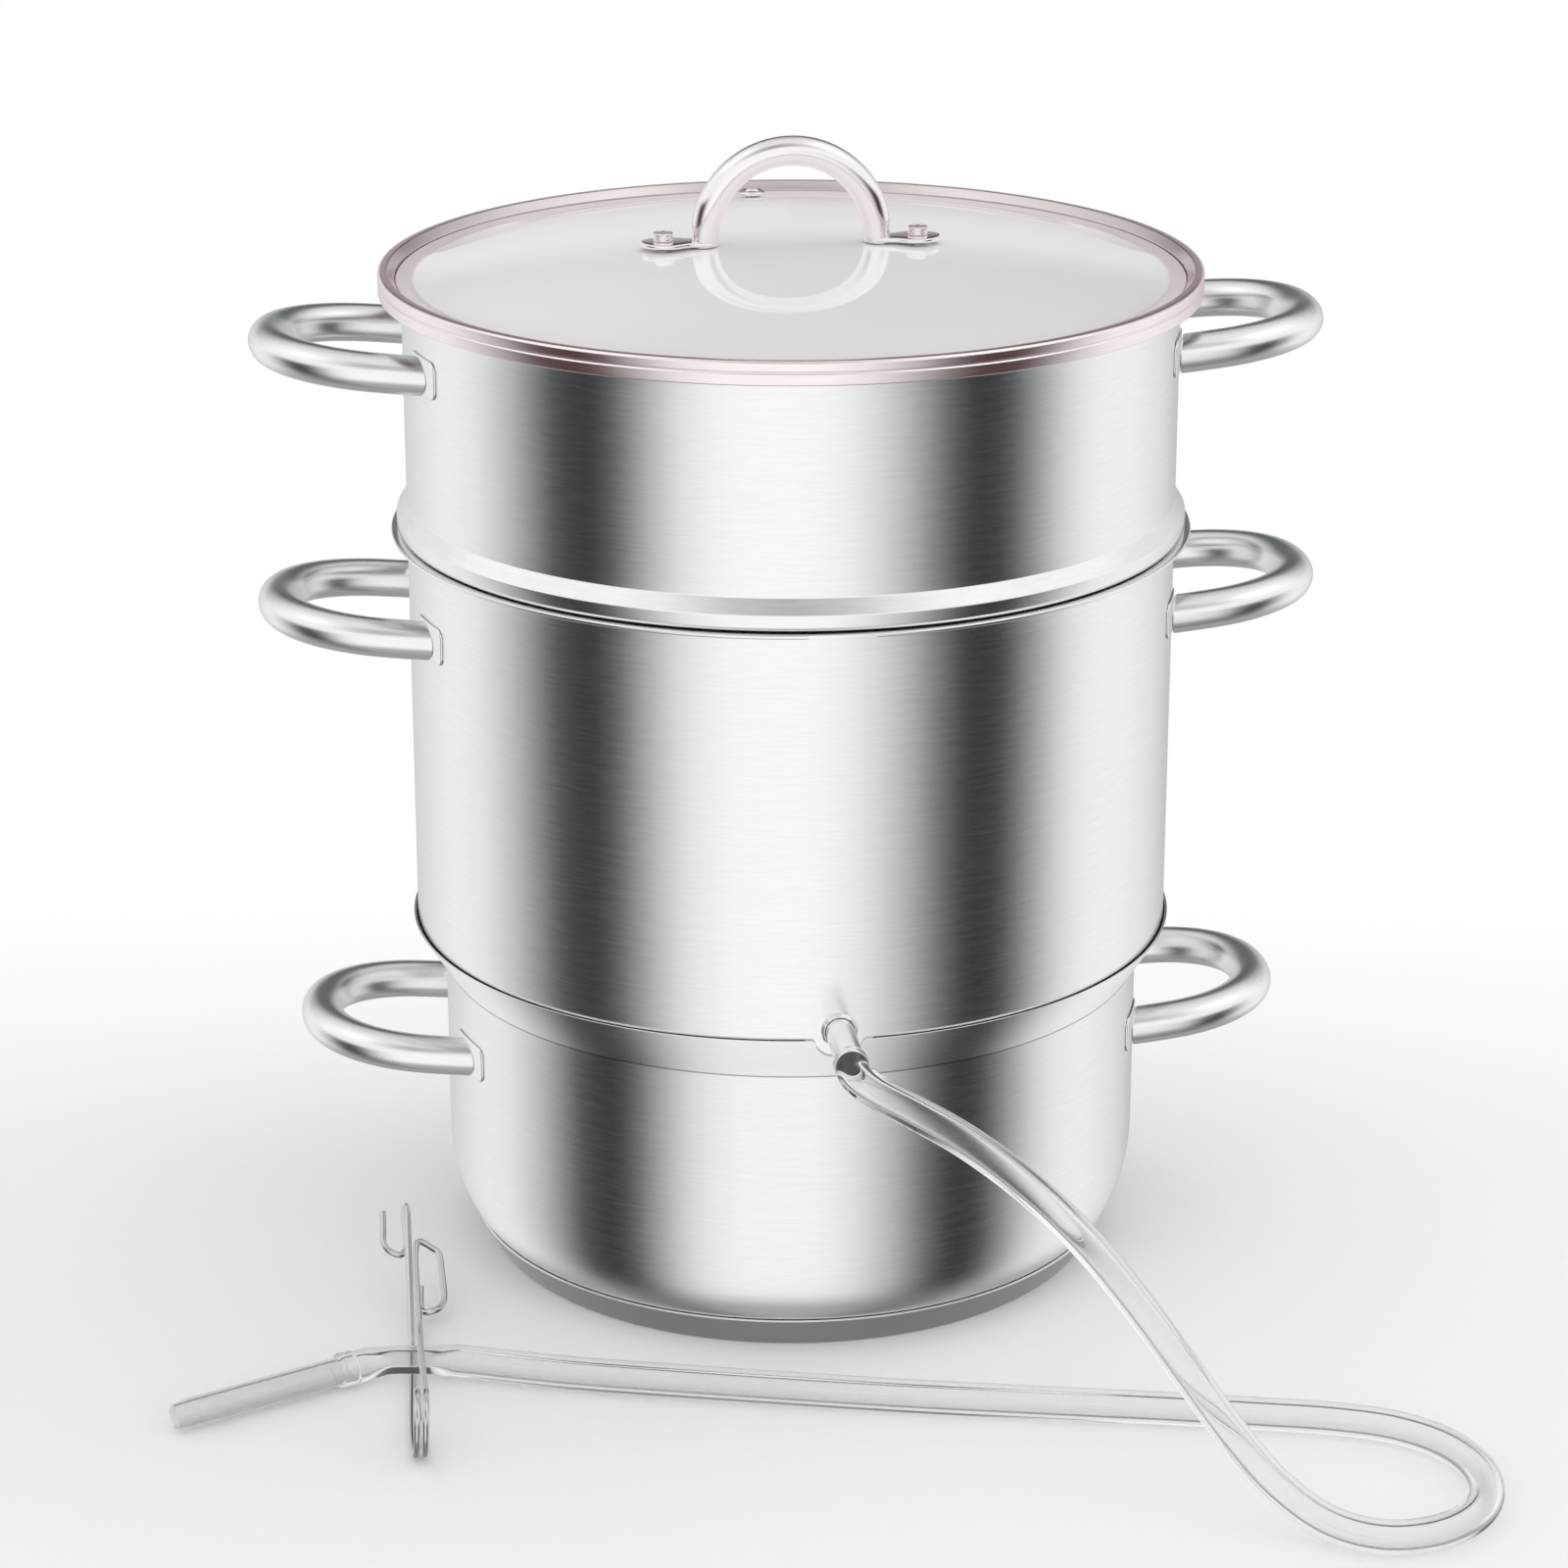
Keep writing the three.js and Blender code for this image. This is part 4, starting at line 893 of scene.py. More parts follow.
def notchCutter():
    # a half round with eased upper corners, drawn out from before the rim to behind the wall
    reach, soft, top = panSetup["notch"], panSetup["notchRound"], panSetup["top"]
    across = sqrt((reach + soft) ** 2 - soft ** 2)
    meet = degrees(atan2(soft, across))
    level = top - soft + panSetup["cutLift"]
    left = arcPoints((-across, level), (soft, soft), 90, meet, 6)
    bowl = arcPoints((0, top), (reach, reach), 180 + meet, 360 - meet, 24)
    right = arcPoints((across, level), (soft, soft), 180 - meet, 90, 6)
    outline = [(x, z) for x, z, _ in left + bowl[1:-1] + right]
    over = top + panSetup["cutOver"]
    outline = [(-across, over)] + outline + [(across, over)]
    near, far = -panSetup["rim"] - panSetup["cutOut"], -panSetup["wall"] + panSetup["cutIn"]
    count = len(outline)
    points = [(x, near, z) for x, z in outline] + [(x, far, z) for x, z in outline]
    faces = [tuple(range(count)), tuple(range(2 * count - 1, count - 1, -1))]
    faces += [(i, count + i, count + (i + 1) % count, (i + 1) % count) for i in range(count)]
    return fillMesh("notch", points, faces)


def makePan():
    wide, high = panSetup["corner"]
    wall, bottom, thick = panSetup["wall"], panSetup["bottom"], panSetup["sheet"]
    line = [(0, bottom, 0)]
    line += arcPoints((wall - wide, bottom + high), (wide, high), -90, 0, 22)
    line += [(wall, panSetup["flare"], 0.7), (panSetup["rim"], panSetup["top"], 0)]
    inner = offsetLine(line, thick)[::-1]
    inner[0] = (inner[0][0], panSetup["top"], 0.4)
    inner[-1] = (0, bottom + thick, 0)
    line[-1] = (*line[-1][:2], 0.3)
    shell = turnedMesh("panShell", softCorners(line + inner), rows=6.0)
    addPiece("panShell", cutMesh(shell, notchCutter()), "pan", "water_pan", "brushed_steel", "pan_shell")


capSetup = {
    "height": 11.5, "seam": 112.535, "flare": 6.0, "sheet": 1.0, "rings": (34, 66, 97), "groove": (1.2, 0.35),
    "core": (103.0, 1.3, 6.5, 0.4),
}


def makeBase():
    outer = capSetup["seam"] + capSetup["sheet"]
    foot, thick = outer - capSetup["flare"], capSetup["sheet"]
    wide, deep = capSetup["groove"]
    line = [(0, 0, 0)]
    for radius in capSetup["rings"]:
        line += [(radius - wide, 0, 0.3), (radius - wide / 2, deep, 0.3), (radius + wide / 2, deep, 0.3),
                 (radius + wide, 0, 0.3)]
    line += [(foot - 1, 0, 0.8), (foot, 1, 0.8), (outer, capSetup["height"], 0.45),
             (capSetup["seam"], capSetup["height"], 0.2), (foot - thick, thick, 0.3), (0, thick, 0)]
    turnedPiece("baseCap", line, ("cap", "water_pan", "brushed_steel"), "base_cap", rows=9.0, limit=60)
    radius, low, high, soft = capSetup["core"]
    core = [(0, low, 0), (radius, low, soft), (radius, high, soft), (0, high, 0)]
    turnedPiece("baseCore", core, ("core", "water_pan", "aluminium_core"), "base_core", rows=12.0)


# Juice kettle: shell on its cone seat, steam chimney, spout and the weld round the spout
kettleSetup = {
    "wall": 131.0, "top": 260.7, "lip": (5.5, 1.3), "seatTop": 121.22, "seat": (125.45, 112.72),
    "floorEdge": (123.45, 111.72), "floorHole": (40.0, 114.22), "sheet": 1.0,
    "spout": (4.75, 0.7, 160.0, 124.2), "spoutHole": (5.0, 6.0, 12.0),
}


def kettleOutside(height):
    seatRadius, seatHeight = kettleSetup["seat"]
    share = min(1.0, max(0.0, (height - seatHeight) / (kettleSetup["seatTop"] - seatHeight)))
    return seatRadius + (kettleSetup["wall"] - seatRadius) * share


def makeKettle():
    wall, top, thick = kettleSetup["wall"], kettleSetup["top"], kettleSetup["sheet"]
    reach, lip = kettleSetup["lip"]
    line = [(*kettleSetup["floorHole"], 0.3), (*kettleSetup["floorEdge"], 1.2), (*kettleSetup["seat"], 1.4),
            (wall, kettleSetup["seatTop"], 2.0), (wall, top - lip, 0.8)]
    inner = offsetLine(line, thick)[::-1]
    inner[0] = (wall - thick, top, 1.2)
    edge = [(wall + reach, top - lip, 0.5), (wall + reach, top, 0.5)]
    shell = turnedMesh("kettleShell", softCorners(line + edge + inner), rows=7.0)
    height = kettleSetup["spout"][3]
    radius, out, into = kettleSetup["spoutHole"]
    hole = barMesh(radius, (0, -wall - out, height), (0, -wall + into, height))
    addPiece("kettleShell", cutMesh(shell, hole), "kettle", "juice_kettle", "brushed_steel", "kettle_shell")


chimneySetup = {
    "flange": (54.0, 115.11), "flat": 45.0, "foot": 37.0, "base": 115.52, "bend": 5.0, "top": (20.0, 197.52),
    "sheet": 1.0,
}


def makeChimney():
    foot, base, bend, thick = (chimneySetup[key] for key in ("foot", "base", "bend", "sheet"))
    radius, top = chimneySetup["top"]
    line = [(*chimneySetup["flange"], 0), (chimneySetup["flat"], base + thick, 0)]
    line += arcPoints((foot + bend, base + thick + bend), (bend, bend), -90, -180, 8)[1:]
    line += [(radius, top - 2, 1.5), (radius + 1, top - 1, 0.6), (radius, top, 0)]
    look = "wall", "juice_kettle", "brushed_steel"
    turnedPiece("steamChimney", sheetOutline(line, thick), look, "steam_chimney", 192, rows=5.0)


spoutSetup = {"into": 3.0, "weld": (6.0, 1.1), "gap": 0.12, "lift": 0.04, "waves": (0.05, 0.04)}


def makeSpout():
    radius, wall, mouth, height = kettleSetup["spout"]
    length = mouth - kettleSetup["wall"] + spoutSetup["into"]
    inner = radius - wall
    outline = [(inner, 0, 0.3), (radius, 0, 0.3), (radius, length, 0.33), (inner, length, 0.33)]
    place = Matrix.Translation((0, length - mouth, height)) @ Matrix.Rotation(pi / 2, 4, "X")
    look = "spout", "juice_kettle", "polished_steel"
    turnedPiece("spoutTube", outline, look, "spout_tube", 96, place=place, limit=60)
    reach, proud = spoutSetup["weld"]
    hole, low = radius + spoutSetup["gap"], spoutSetup["lift"]
    section = softCorners([(hole, low, 0), (reach, low, 0.02), (reach, 0.35, 0.2), (reach - 0.5, 0.85, 0.3),
                           (hole + 0.3, proud, 0.2), (hole, proud, 0.3)])
    points, faces, sides = [], [], 96
    coarse, fine = spoutSetup["waves"]
    for k in range(sides):
        angle = 2 * pi * k / sides
        wave = 1 + coarse * sin(angle * 9) + fine * sin(angle * 14 + 1)
        for out, lift in section:
            out = hole + (out - hole) * wave
            x, z = out * cos(angle), height + out * sin(angle)
            y = -sqrt(kettleOutside(z) ** 2 - x * x) - lift * (wave if lift > 0.1 else 1)
            points.append((x, y, z))
    rows = len(section)
    for k in range(sides):
        after = (k + 1) % sides
        for i in range(rows):
            j = (i + 1) % rows
            faces.append((k * rows + i, after * rows + i, after * rows + j, k * rows + j))
    weld = fillMesh("spoutWeld", points, faces, 60)
    addPiece("spoutWeld", weld, "collar", "juice_kettle", "polished_steel", "spout_collar")


# Fruit basket: shell with its shoulder and bead, and the strainer floor
basketSetup = {
    "wall": 131.0, "skirt": 129.5, "skirtBottom": 215.0, "corner": 10.0, "ledge": 9.0, "bottom": 261.0,
    "bead": (3.5, 5.4, 1.9), "shoulder": 5.1, "top": 344.0, "roll": (3.2, 3.0), "sheet": 1.0,
}


def makeBasket():
    wall, skirt, low = basketSetup["wall"], basketSetup["skirt"], basketSetup["skirtBottom"]
    corner, bottom, top = basketSetup["corner"], basketSetup["bottom"], basketSetup["top"]
    reach, high, soft = basketSetup["bead"]
    out, beadTop = wall + reach, bottom + high
    line = [(skirt - corner - basketSetup["ledge"], low, 0.3)]
    line += arcPoints((skirt - corner, low + corner), (corner, corner), -90, 0, 9)
    line += [(skirt, bottom, 0.3), (out, bottom, soft), (out, beadTop, 1.3),
             (wall, beadTop + basketSetup["shoulder"], 1.2), (wall, top, 0)]
    outer = [(*point, 0) for point in softCorners(line, closed=False)]
    inner = offsetLine(outer, basketSetup["sheet"])[::-1]
    inner[0] = (wall - basketSetup["sheet"], top, 0.9)
    rollOut, rollHigh = basketSetup["roll"]
    roll = [(wall, top - rollHigh, 0.4), (wall + rollOut, top - rollHigh, 0.9), (wall + rollOut, top, 0.9)]
    look = "wall", "fruit_basket", "brushed_steel"
    turnedPiece("basketShell", outer[:-1] + roll + inner, look, "basket_shell", rows=7.0, limit=50)


strainerSetup = {
    "bottom": 216.3, "radius": 119.2, "sheet": 1.2, "dome": (40.0, 14.0, 6.0), "rings": 7,
    "holes": {"First Ring": 0.061, "Ring Step": 0.009, "Hole Spacing": 0.0096, "Hole Radius": 0.0021},
}


def makeStrainer():
    low, radius, thick = strainerSetup["bottom"], strainerSetup["radius"], strainerSetup["sheet"]
    flat, run, rise = strainerSetup["dome"]
    slope = [(flat + run * i / 12, low + rise * (1 + cos(i / 12 * pi)) / 2, 0) for i in range(13)]
    under = [(0, low + rise, 0), *slope, (radius, low, 0.4)]
    over = [(r, z + thick, s) for r, z, s in under][::-1]
    plate = turnedMesh("strainerFloor", softCorners(under + over), 256)
    values = {**strainerSetup["holes"], "Level": (low + thick / 2) * mm, "Metal": finishes["inside"]}
    holed = runShapeTree("strainerFloor", plate, makeDrillTree(strainerSetup["rings"]), values)
    joinNear(holed)
    addPiece("strainerFloor", holed, "inside", "fruit_basket", "brushed_steel", "strainer_floor")


makePan()
makeBase()
makeKettle()
makeChimney()
makeSpout()
makeBasket()
makeStrainer()
print("pots made")


def copiedPiece(name, mesh, look, nodes, ends=1, half=0.0, aside=0.0, limit=None):
    # on both sides of the axis, with one copy or one at each end
    values = {"Sides": 2, "Ends": ends, "Half Angle": half, "Aside": aside, "Metal": finishes[look[0]]}
    addPiece(name, runShapeTree(name, mesh, copiesTree, values, limit), *look, *nodes)


# Side handles: one bent oval tube and one weld seat, laid out in pairs round each pot
handleSetup = {
    "spacing": 71.6, "reach": 44.0, "run": 3.4, "square": 2.19, "half": (7.3, 6.5), "rise": 0.1,
    "stand": 1.15, "inset": 4.0, "clear": 1.5, "sides": 40, "step": 2.2, "ground": (0.5, 0.95),
    "seat": (24.0, 12.8, 3.2), "seatThick": 0.55, "seatLift": -0.2, "seatGap": 0.1, "seatStep": 2.5,
    "tiers": [
        ("pan", "water_pan", 121.5, 82.0),
        ("kettle", "juice_kettle", 131.0, 232.7),
        ("basket", "fruit_basket", 131.0, 323.5),
    ],
}


def handleMesh(wall, height):
    half, run = handleSetup["spacing"] / 2, handleSetup["run"]
    foot = sqrt(wall ** 2 - half ** 2)
    bend, depth, share = wall + run, handleSetup["reach"] - run, 2 / handleSetup["square"]
    start = foot - handleSetup["inset"]
    places = [(start, -half), (bend, -half)]
    for i in range(1, 12):
        angle = -pi / 2 + pi * i / 12
        places.append((bend + depth * cos(angle) ** share,
                       half * abs(sin(angle)) ** share * (1 if angle > 0 else -1)))
    places += [(bend, half), (start, half)]
    places = [(x, y, height + (x - wall) * handleSetup["rise"]) for x, y in places]
    path = smoothPath(places, handleSetup["step"])
    face = wall + handleSetup["stand"]
    path = [p for p in path if hypot(p.x, p.y) > face + handleSetup["clear"]]
    mesh = sweptMesh("handle", path, [oval(*handleSetup["half"], handleSetup["sides"])] * len(path))
    trimHandle(mesh, path, face)
    return mesh


def trimHandle(mesh, path, face):
    # both ends run on to the seat's curved face, with a small ground edge
    sides = handleSetup["sides"]
    before, narrow = handleSetup["ground"]
    with worked(mesh) as work:
        work.verts.ensure_lookup_table()
        far = (len(path) - 1) * sides
        rings = [[work.verts[base + k] for k in range(sides)] for base in (0, far)]
        for ring, way in zip(rings, (path[0] - path[1], path[-1] - path[-2])):
            way = way.normalized()
            middle = sum((vert.co for vert in ring), Vector()) / sides
            cap = [f for f in ring[0].link_faces if all(v in ring for v in f.verts)][0]
            for vert in ring:
                vert.co += way * reachCylinder(vert.co, way, (face + before) * mm)
            grown = bmesh.ops.extrude_discrete_faces(work, faces=[cap])["faces"][0]
            for vert in grown.verts:
                vert.co = middle + (vert.co - middle) * narrow
                vert.co += way * reachCylinder(vert.co, way, face * mm)
    shadeMesh(mesh, 30)


def reachCylinder(place, way, radius):
    # how far along the way the upright cylinder's skin lies
    a = way.x ** 2 + way.y ** 2
    b = place.x * way.x + place.y * way.y
    c = place.x ** 2 + place.y ** 2 - radius ** 2
    return (-b - sqrt(max(b * b - a * c, 0.0))) / a


def seatMesh(wall, height):
    # one seat at heading 0: a rounded plate bent round the wall, its middle lifted a little
    long, high, corner = handleSetup["seat"]
    gap, thick = handleSetup["seatGap"], handleSetup["seatThick"]
    edge = []
    for cx, cz, start in ((1, 1, 0), (-1, 1, 90), (-1, -1, 180), (1, -1, 270)):
        centre = (cx * (long / 2 - corner), cz * (high / 2 - corner))
        edge += [(x, z) for x, z, _ in arcPoints(centre, (corner, corner), start, start + 90, 6)]
    edge = splitLong(edge, handleSetup["seatStep"])
    top = gap + thick
    rings = [(1.0, gap), (1.0, top - 0.3), (0.99, top - 0.1), (0.97, top - 0.01)]
    rings += [(share, top) for share in (0.9, 0.7, 0.5, 0.3)]
    count = len(edge)
    middle = height + handleSetup["seatLift"]

    def spot(x, z, share, lift):
        radius = wall + lift
        angle = asin(x * share / radius)
        return (radius * cos(angle), radius * sin(angle), middle + z * share)

    points, faces = [spot(0, 0, 0, gap)], []
    for share, lift in rings:
        points += [spot(x, z, share, lift) for x, z in edge]
    points.append(spot(0, 0, 0, top))
    last = len(points) - 1
    for k in range(count):
        after = (k + 1) % count
        faces.append((0, 1 + after, 1 + k))
        for r in range(len(rings) - 1):
            a, b = 1 + r * count, 1 + (r + 1) * count
            faces.append((a + k, a + after, b + after, b + k))
        faces.append((last - count + k, last - count + after, last))
    return fillMesh("seat", points, faces, 40)


def makeHandles():
    for tier, body, wall, height in handleSetup["tiers"]:
        nodes = [f"{tier}_handle_{side}" for side in ("right", "left")]
        copiedPiece(f"{tier}Handles", handleMesh(wall, height), ("handle", body, "handle_steel"), nodes)
        nodes = [f"{tier}_weld_seat_{side}_{end}" for side in ("right", "left") for end in "ab"]
        half = asin(handleSetup["spacing"] / 2 / wall)
        copiedPiece(f"{tier}WeldSeats", seatMesh(wall, height), ("wall", body, "polished_steel"), nodes,
                    ends=2, half=half, limit=40)


makeHandles()
print("side handles made")


# Lid: the rolled band with its tray, the domed glass, the vent and the handle with its fixings
lidSetup = {
    "radius": 138.6, "bottom": 341.7, "top": 349.5, "groove": (4.1, 0.5), "sheet": 1.1, "tray": 129.4,
    "trayBottom": 340.1, "ledge": 5.5, "glassEdge": 345.3, "glass": 128.0, "thick": 3.8, "rise": 10.8,
    "fall": (0.7, 0.3),
    "seat": (133.0, 344.5), "slope": 1.2, "flat": 3.2, "pane": (132.6, 346.4), "paneGap": 0.15,
    "ears": 43.0, "vent": 115.6, "earHole": 2.5, "ventHole": 3.7, "cut": (330.0, 365.0),
}


def glassTop(radius):
    # flatter over its middle than a ball
    square, fourth = lidSetup["fall"]
    share = (radius / lidSetup["glass"]) ** 2
    return lidSetup["glassEdge"] + lidSetup["rise"] * (1 - square * share - fourth * share * share)


def makeLid():
    radius, bottom, top, thick = (lidSetup[key] for key in ("radius", "bottom", "top", "sheet"))
    tray, low = lidSetup["tray"], lidSetup["trayBottom"]
    seat, seatLow = lidSetup["seat"]
    step, deep = lidSetup["groove"]
    groove, ledge, seatTop = bottom + step, tray - lidSetup["ledge"], seatLow + thick
    outline = [
        (ledge, low, 0.4), (tray, low, 1.0), (tray, seatLow, 0.8), (seat + thick, seatLow, 0.9),
        (radius - thick, top - thick - 1, 0.8), (radius - thick, bottom, 0.35), (radius, bottom, 0.5),
        (radius, groove - deep, 0.3), (radius - deep, groove, 0.35), (radius, groove + deep, 0.3),
        (radius, top, 1.1), (radius - lidSetup["flat"], top, 0.6), (seat, seatTop + lidSetup["slope"], 0.5),
        (seat, seatTop, 0.3),
        (tray - thick, seatTop, 0.6), (tray - thick, low + thick, 0.5), (ledge, low + thick, 0.4),
    ]
    turnedPiece("lidBand", outline, ("lid", "lid", "lid_steel"), "lid_rim", 320, limit=50)
    glass, pane = lidSetup["glass"], lidSetup["thick"]
    edge, edgeTop = lidSetup["pane"]
    inner = [glass * i / 24 for i in range(24)]
    over = [(r, glassTop(r), 0) for r in inner] + [(glass, glassTop(glass) + 0.5, 6.0), (edge, edgeTop, 0.35)]
    under = [(r, glassTop(r) - pane, 0) for r in inner] + [(glass - 0.4, glassTop(glass) - pane, 0.6)]
    rest = seatTop + lidSetup["paneGap"]
    under += [(glass - 0.4, rest, 0.3), (edge, rest, 0.2)]
    dome = turnedMesh("lidGlass", softCorners(under + over[::-1]), 256)
    ears, vent, (low, high) = lidSetup["ears"], lidSetup["vent"], lidSetup["cut"]
    spots = [(lidSetup["earHole"], -ears, 0), (lidSetup["earHole"], ears, 0), (lidSetup["ventHole"], 0, vent)]
    holes = [barMesh(size, (x, y, low), (x, y, high)) for size, x, y in spots]
    addPiece("lidGlass", cutMesh(dome, *holes), "glass", "lid", "lid_glass", "lid_glass")


ventSetup = {"flange": 4.9, "thick": 1.3, "barrel": 3.4, "bore": 2.3, "gap": 0.3}


def makeVent():
    vent = lidSetup["vent"]
    flange, thick, barrel, bore, gap = ventSetup.values()
    high = glassTop(vent - flange) + gap
    low = glassTop(vent + flange) - lidSetup["thick"] - gap
    outline = [
        (bore, low - thick, 0.5), (flange, low - thick, 0.5), (flange, low, 0.4), (barrel, low, 0.1),
        (barrel, high, 0.1), (flange, high, 0.3), (flange, high + 0.8, 0.8),
        (barrel + 0.3, high + thick + 0.2, 0.8), (bore, high + 0.9, 0.8),
    ]
    look, spot = ("vent", "lid", "polished_steel"), Matrix.Translation((0, vent, 0))
    turnedPiece("ventEyelet", outline, look, "vent_eyelet", 96, place=spot, limit=60)


archSetup = {
    "leg": 29.0, "tube": 5.0, "foot": 4.5, "height": 36.4, "ear": (43.0, 7.4, 1.0), "neck": 4.6, "hole": 2.5,
    "gap": 0.3, "legBlend": 16.0, "neckBlend": (33.5, 41.0), "steps": 100, "earSteps": 40, "inset": 2.0,
    "tipStop": 0.02, "tipHalf": 0.2, "cut": (5.0, 7.0), "square": 4.5,
}


def archRest():
    return glassTop(archSetup["leg"] - archSetup["tube"] / 2) + archSetup["gap"]


def makeLidHandle():
    leg, tube, foot = archSetup["leg"], archSetup["tube"], archSetup["foot"]
    ear, earRound, earHalf = archSetup["ear"]
    rest = archRest()
    middle = rest + archSetup["height"] - tube - leg
    start = asin((rest - middle) / leg)
    path, sections = [], []
    steps = archSetup["steps"]
    for i in range(steps + 1):
        angle = start + (pi - 2 * start) * i / steps
        path.append(Vector((leg * cos(angle), 0, middle + leg * sin(angle))))
        thick = foot + (tube - foot) * smoothShare(path[-1].z - rest, 0.0, archSetup["legBlend"])
        sections.append(oval(thick, thick, 48))
    arch = sweptMesh("lidHandle", path, sections, reference=(0, 1, 0), limit=40)
    ears, neck, steps = [], archSetup["neck"], archSetup["earSteps"]
    inner, tip = leg - archSetup["inset"], ear + earRound - archSetup["tipStop"]
    under, over = archSetup["cut"]
    for side in (-1, 1):
        path, sections = [], []
        for i in range(steps + 1):
            # the steps grow short towards the round tip
            out = inner + (tip - inner) * sin(i / steps * pi / 2)
            wide = neck + (earRound - neck) * smoothShare(out, *archSetup["neckBlend"])
            if out > ear:
                wide = sqrt(max(earRound ** 2 - (out - ear) ** 2, archSetup["tipHalf"] ** 2))
            path.append(Vector((side * out, 0, rest + earHalf)))
            sections.append(oval(earHalf, wide, 48, archSetup["square"]))
        plate = sweptMesh(f"ear{side}", path, sections, reference=(0, 1, 0), limit=40)
        hole = barMesh(archSetup["hole"], (side * ear, 0, rest - under), (side * ear, 0, rest + over), 32)
        ears.append(cutMesh(plate, hole))
    addPiece("lidHandle", joinMeshes(arch, *ears), "lidHandle", "lid", "lid_steel", "lid_handle")


def smoothShare(value, low, high):
    share = min(1.0, max(0.0, (value - low) / (high - low)))
    return share * share * (3 - 2 * share)


fixingSetup = {
    "head": (3.4, 2.8), "shank": 2.0, "length": 10.0, "washer": (7.0, 2.5, 1.5), "nut": (5.0, 2.3, 6.5),
    "cap": (2.6, 4.25, 1.5), "chamfer": 0.3, "gap": 0.3, "dish": 0.16,
}


def makeFixings():
    ears, gap = lidSetup["ears"], fixingSetup["gap"]
    radius, high = fixingSetup["head"]
    shank = fixingSetup["shank"]
    earTop = archRest() + 2 * archSetup["ear"][2]
    low = earTop + 0.05
    end, top, dish = low - fixingSetup["length"], low + high, low + high - fixingSetup["dish"]
    screw = softCorners([
        (0, end, 0), (shank, end, 0.4), (shank, low, 0.1), (radius, low, 0.25), (radius, top, 0.45),
        (radius - 0.9, top, 0.12), (radius - 1.0, dish, 0.12), (0, dish, 0)])
    wide, bore, thick = fixingSetup["washer"]
    top = glassTop(ears + wide) - lidSetup["thick"] - gap
    under = top - thick
    washer = softCorners([(bore, under, 0.3), (wide, under, 0.5), (wide, top, 0.5), (bore, top, 0.3)])
    radius, bore, high = fixingSetup["nut"]
    top = under - gap
    base = top - high
    foot, middle, ease = base + high / 3, base + high / 2, fixingSetup["chamfer"]
    tip, belly, hollow = fixingSetup["cap"]
    cap = softCorners([
        (0, base, 0), (tip, base, 1.2), (belly, foot, 0.8), (belly, middle, 0), (bore, middle, 0),
        (bore, base + hollow, 0.3), (0, base + hollow, 0)])
    body = [(bore, foot), (radius - ease, foot), (radius, foot + ease), (radius, top - ease),
            (radius - ease, top), (bore, top)]
    things = [
        ("lidScrews", turnedMesh("screw", screw, 64), "fixing", "lid_steel", "lid_screw"),
        ("lidWashers", turnedMesh("washer", washer, 64), "rubber", "soft_washer", "lid_washer"),
        ("lidNuts", joinMeshes(turnedMesh("cap", cap, 64), turnedMesh("hex", body, 6)), "fixing", "lid_steel",
         "lid_nut"),
    ]
    for name, mesh, finish, slotName, node in things:
        nodes = f"{node}_left", f"{node}_right"
        copiedPiece(name, mesh, (finish, "lid", slotName), nodes, aside=ears * mm, limit=40)


def joinMeshes(*meshes):
    work = bmesh.new()
    for mesh in meshes:
        work.from_mesh(mesh)
    work.to_mesh(meshes[0])
    work.free()
    for mesh in meshes[1:]:
        bpy.data.meshes.remove(mesh)
    return meshes[0]


makeLid()
makeVent()
makeLidHandle()
makeFixings()
print("lid made")


# Drain hose: pushed over the spout, down to the floor, round and through the clamp
hoseSetup = {
    "radius": 5.5, "bore": 3.3, "sleeve": 3.0, "sleeveRadius": 5.65, "sleeveBore": 4.87,
    "sleeveRamp": 7.0, "jaws": (-142.1, -115.6, 6.3), "pinch": (12.8, 7.2), "pinchHeld": 6.2,
    "pinchRamp": 16.0, "pinchWall": 2.2, "slit": 0.7, "sides": 48, "square": 0.7,
}
hoseRoute = [
    (0, -157.5, 124.2), (0, -160.4, 124.2), (0, -167.4, 124.2), (4.4, -180, 123.7), (15, -192, 121.3),
    (31, -202, 114), (48.5, -210.2, 101.8), (65.5, -218.4, 86), (81, -227.4, 67.5), (95, -237, 48.5),
    (108, -247.2, 31), (121, -257.4, 17.2), (135, -266.2, 8.8), (150.5, -271.8, 5.8), (167.5, -271, 5.5),
    (182, -262, 5.5), (190.6, -247.4, 5.5), (191.8, -230, 5.5), (185.4, -213.4, 5.5), (172.6, -200.8, 5.5),
    (155, -192.8, 5.5), (130, -186, 5.5), (104, -179.5, 5.5), (61, -169.6, 5.5), (20, -160, 5.5),
    (-18.8, -149.8, 5.5), (-55, -139.8, 5.5), (-90, -129.6, 5.5), (-110, -122.6, 5.6), (-123, -118.4, 5.9),
    (-129.5, -117, 6.1), (-135.7, -116.3, 6.3), (-148.5, -114.9, 6.3), (-152.1, -114.8, 5.9),
    (-156.5, -115.8, 5.7), (-160.6, -117.6, 5.6),
]


def between(first, last, share):
    return first + (last - first) * share


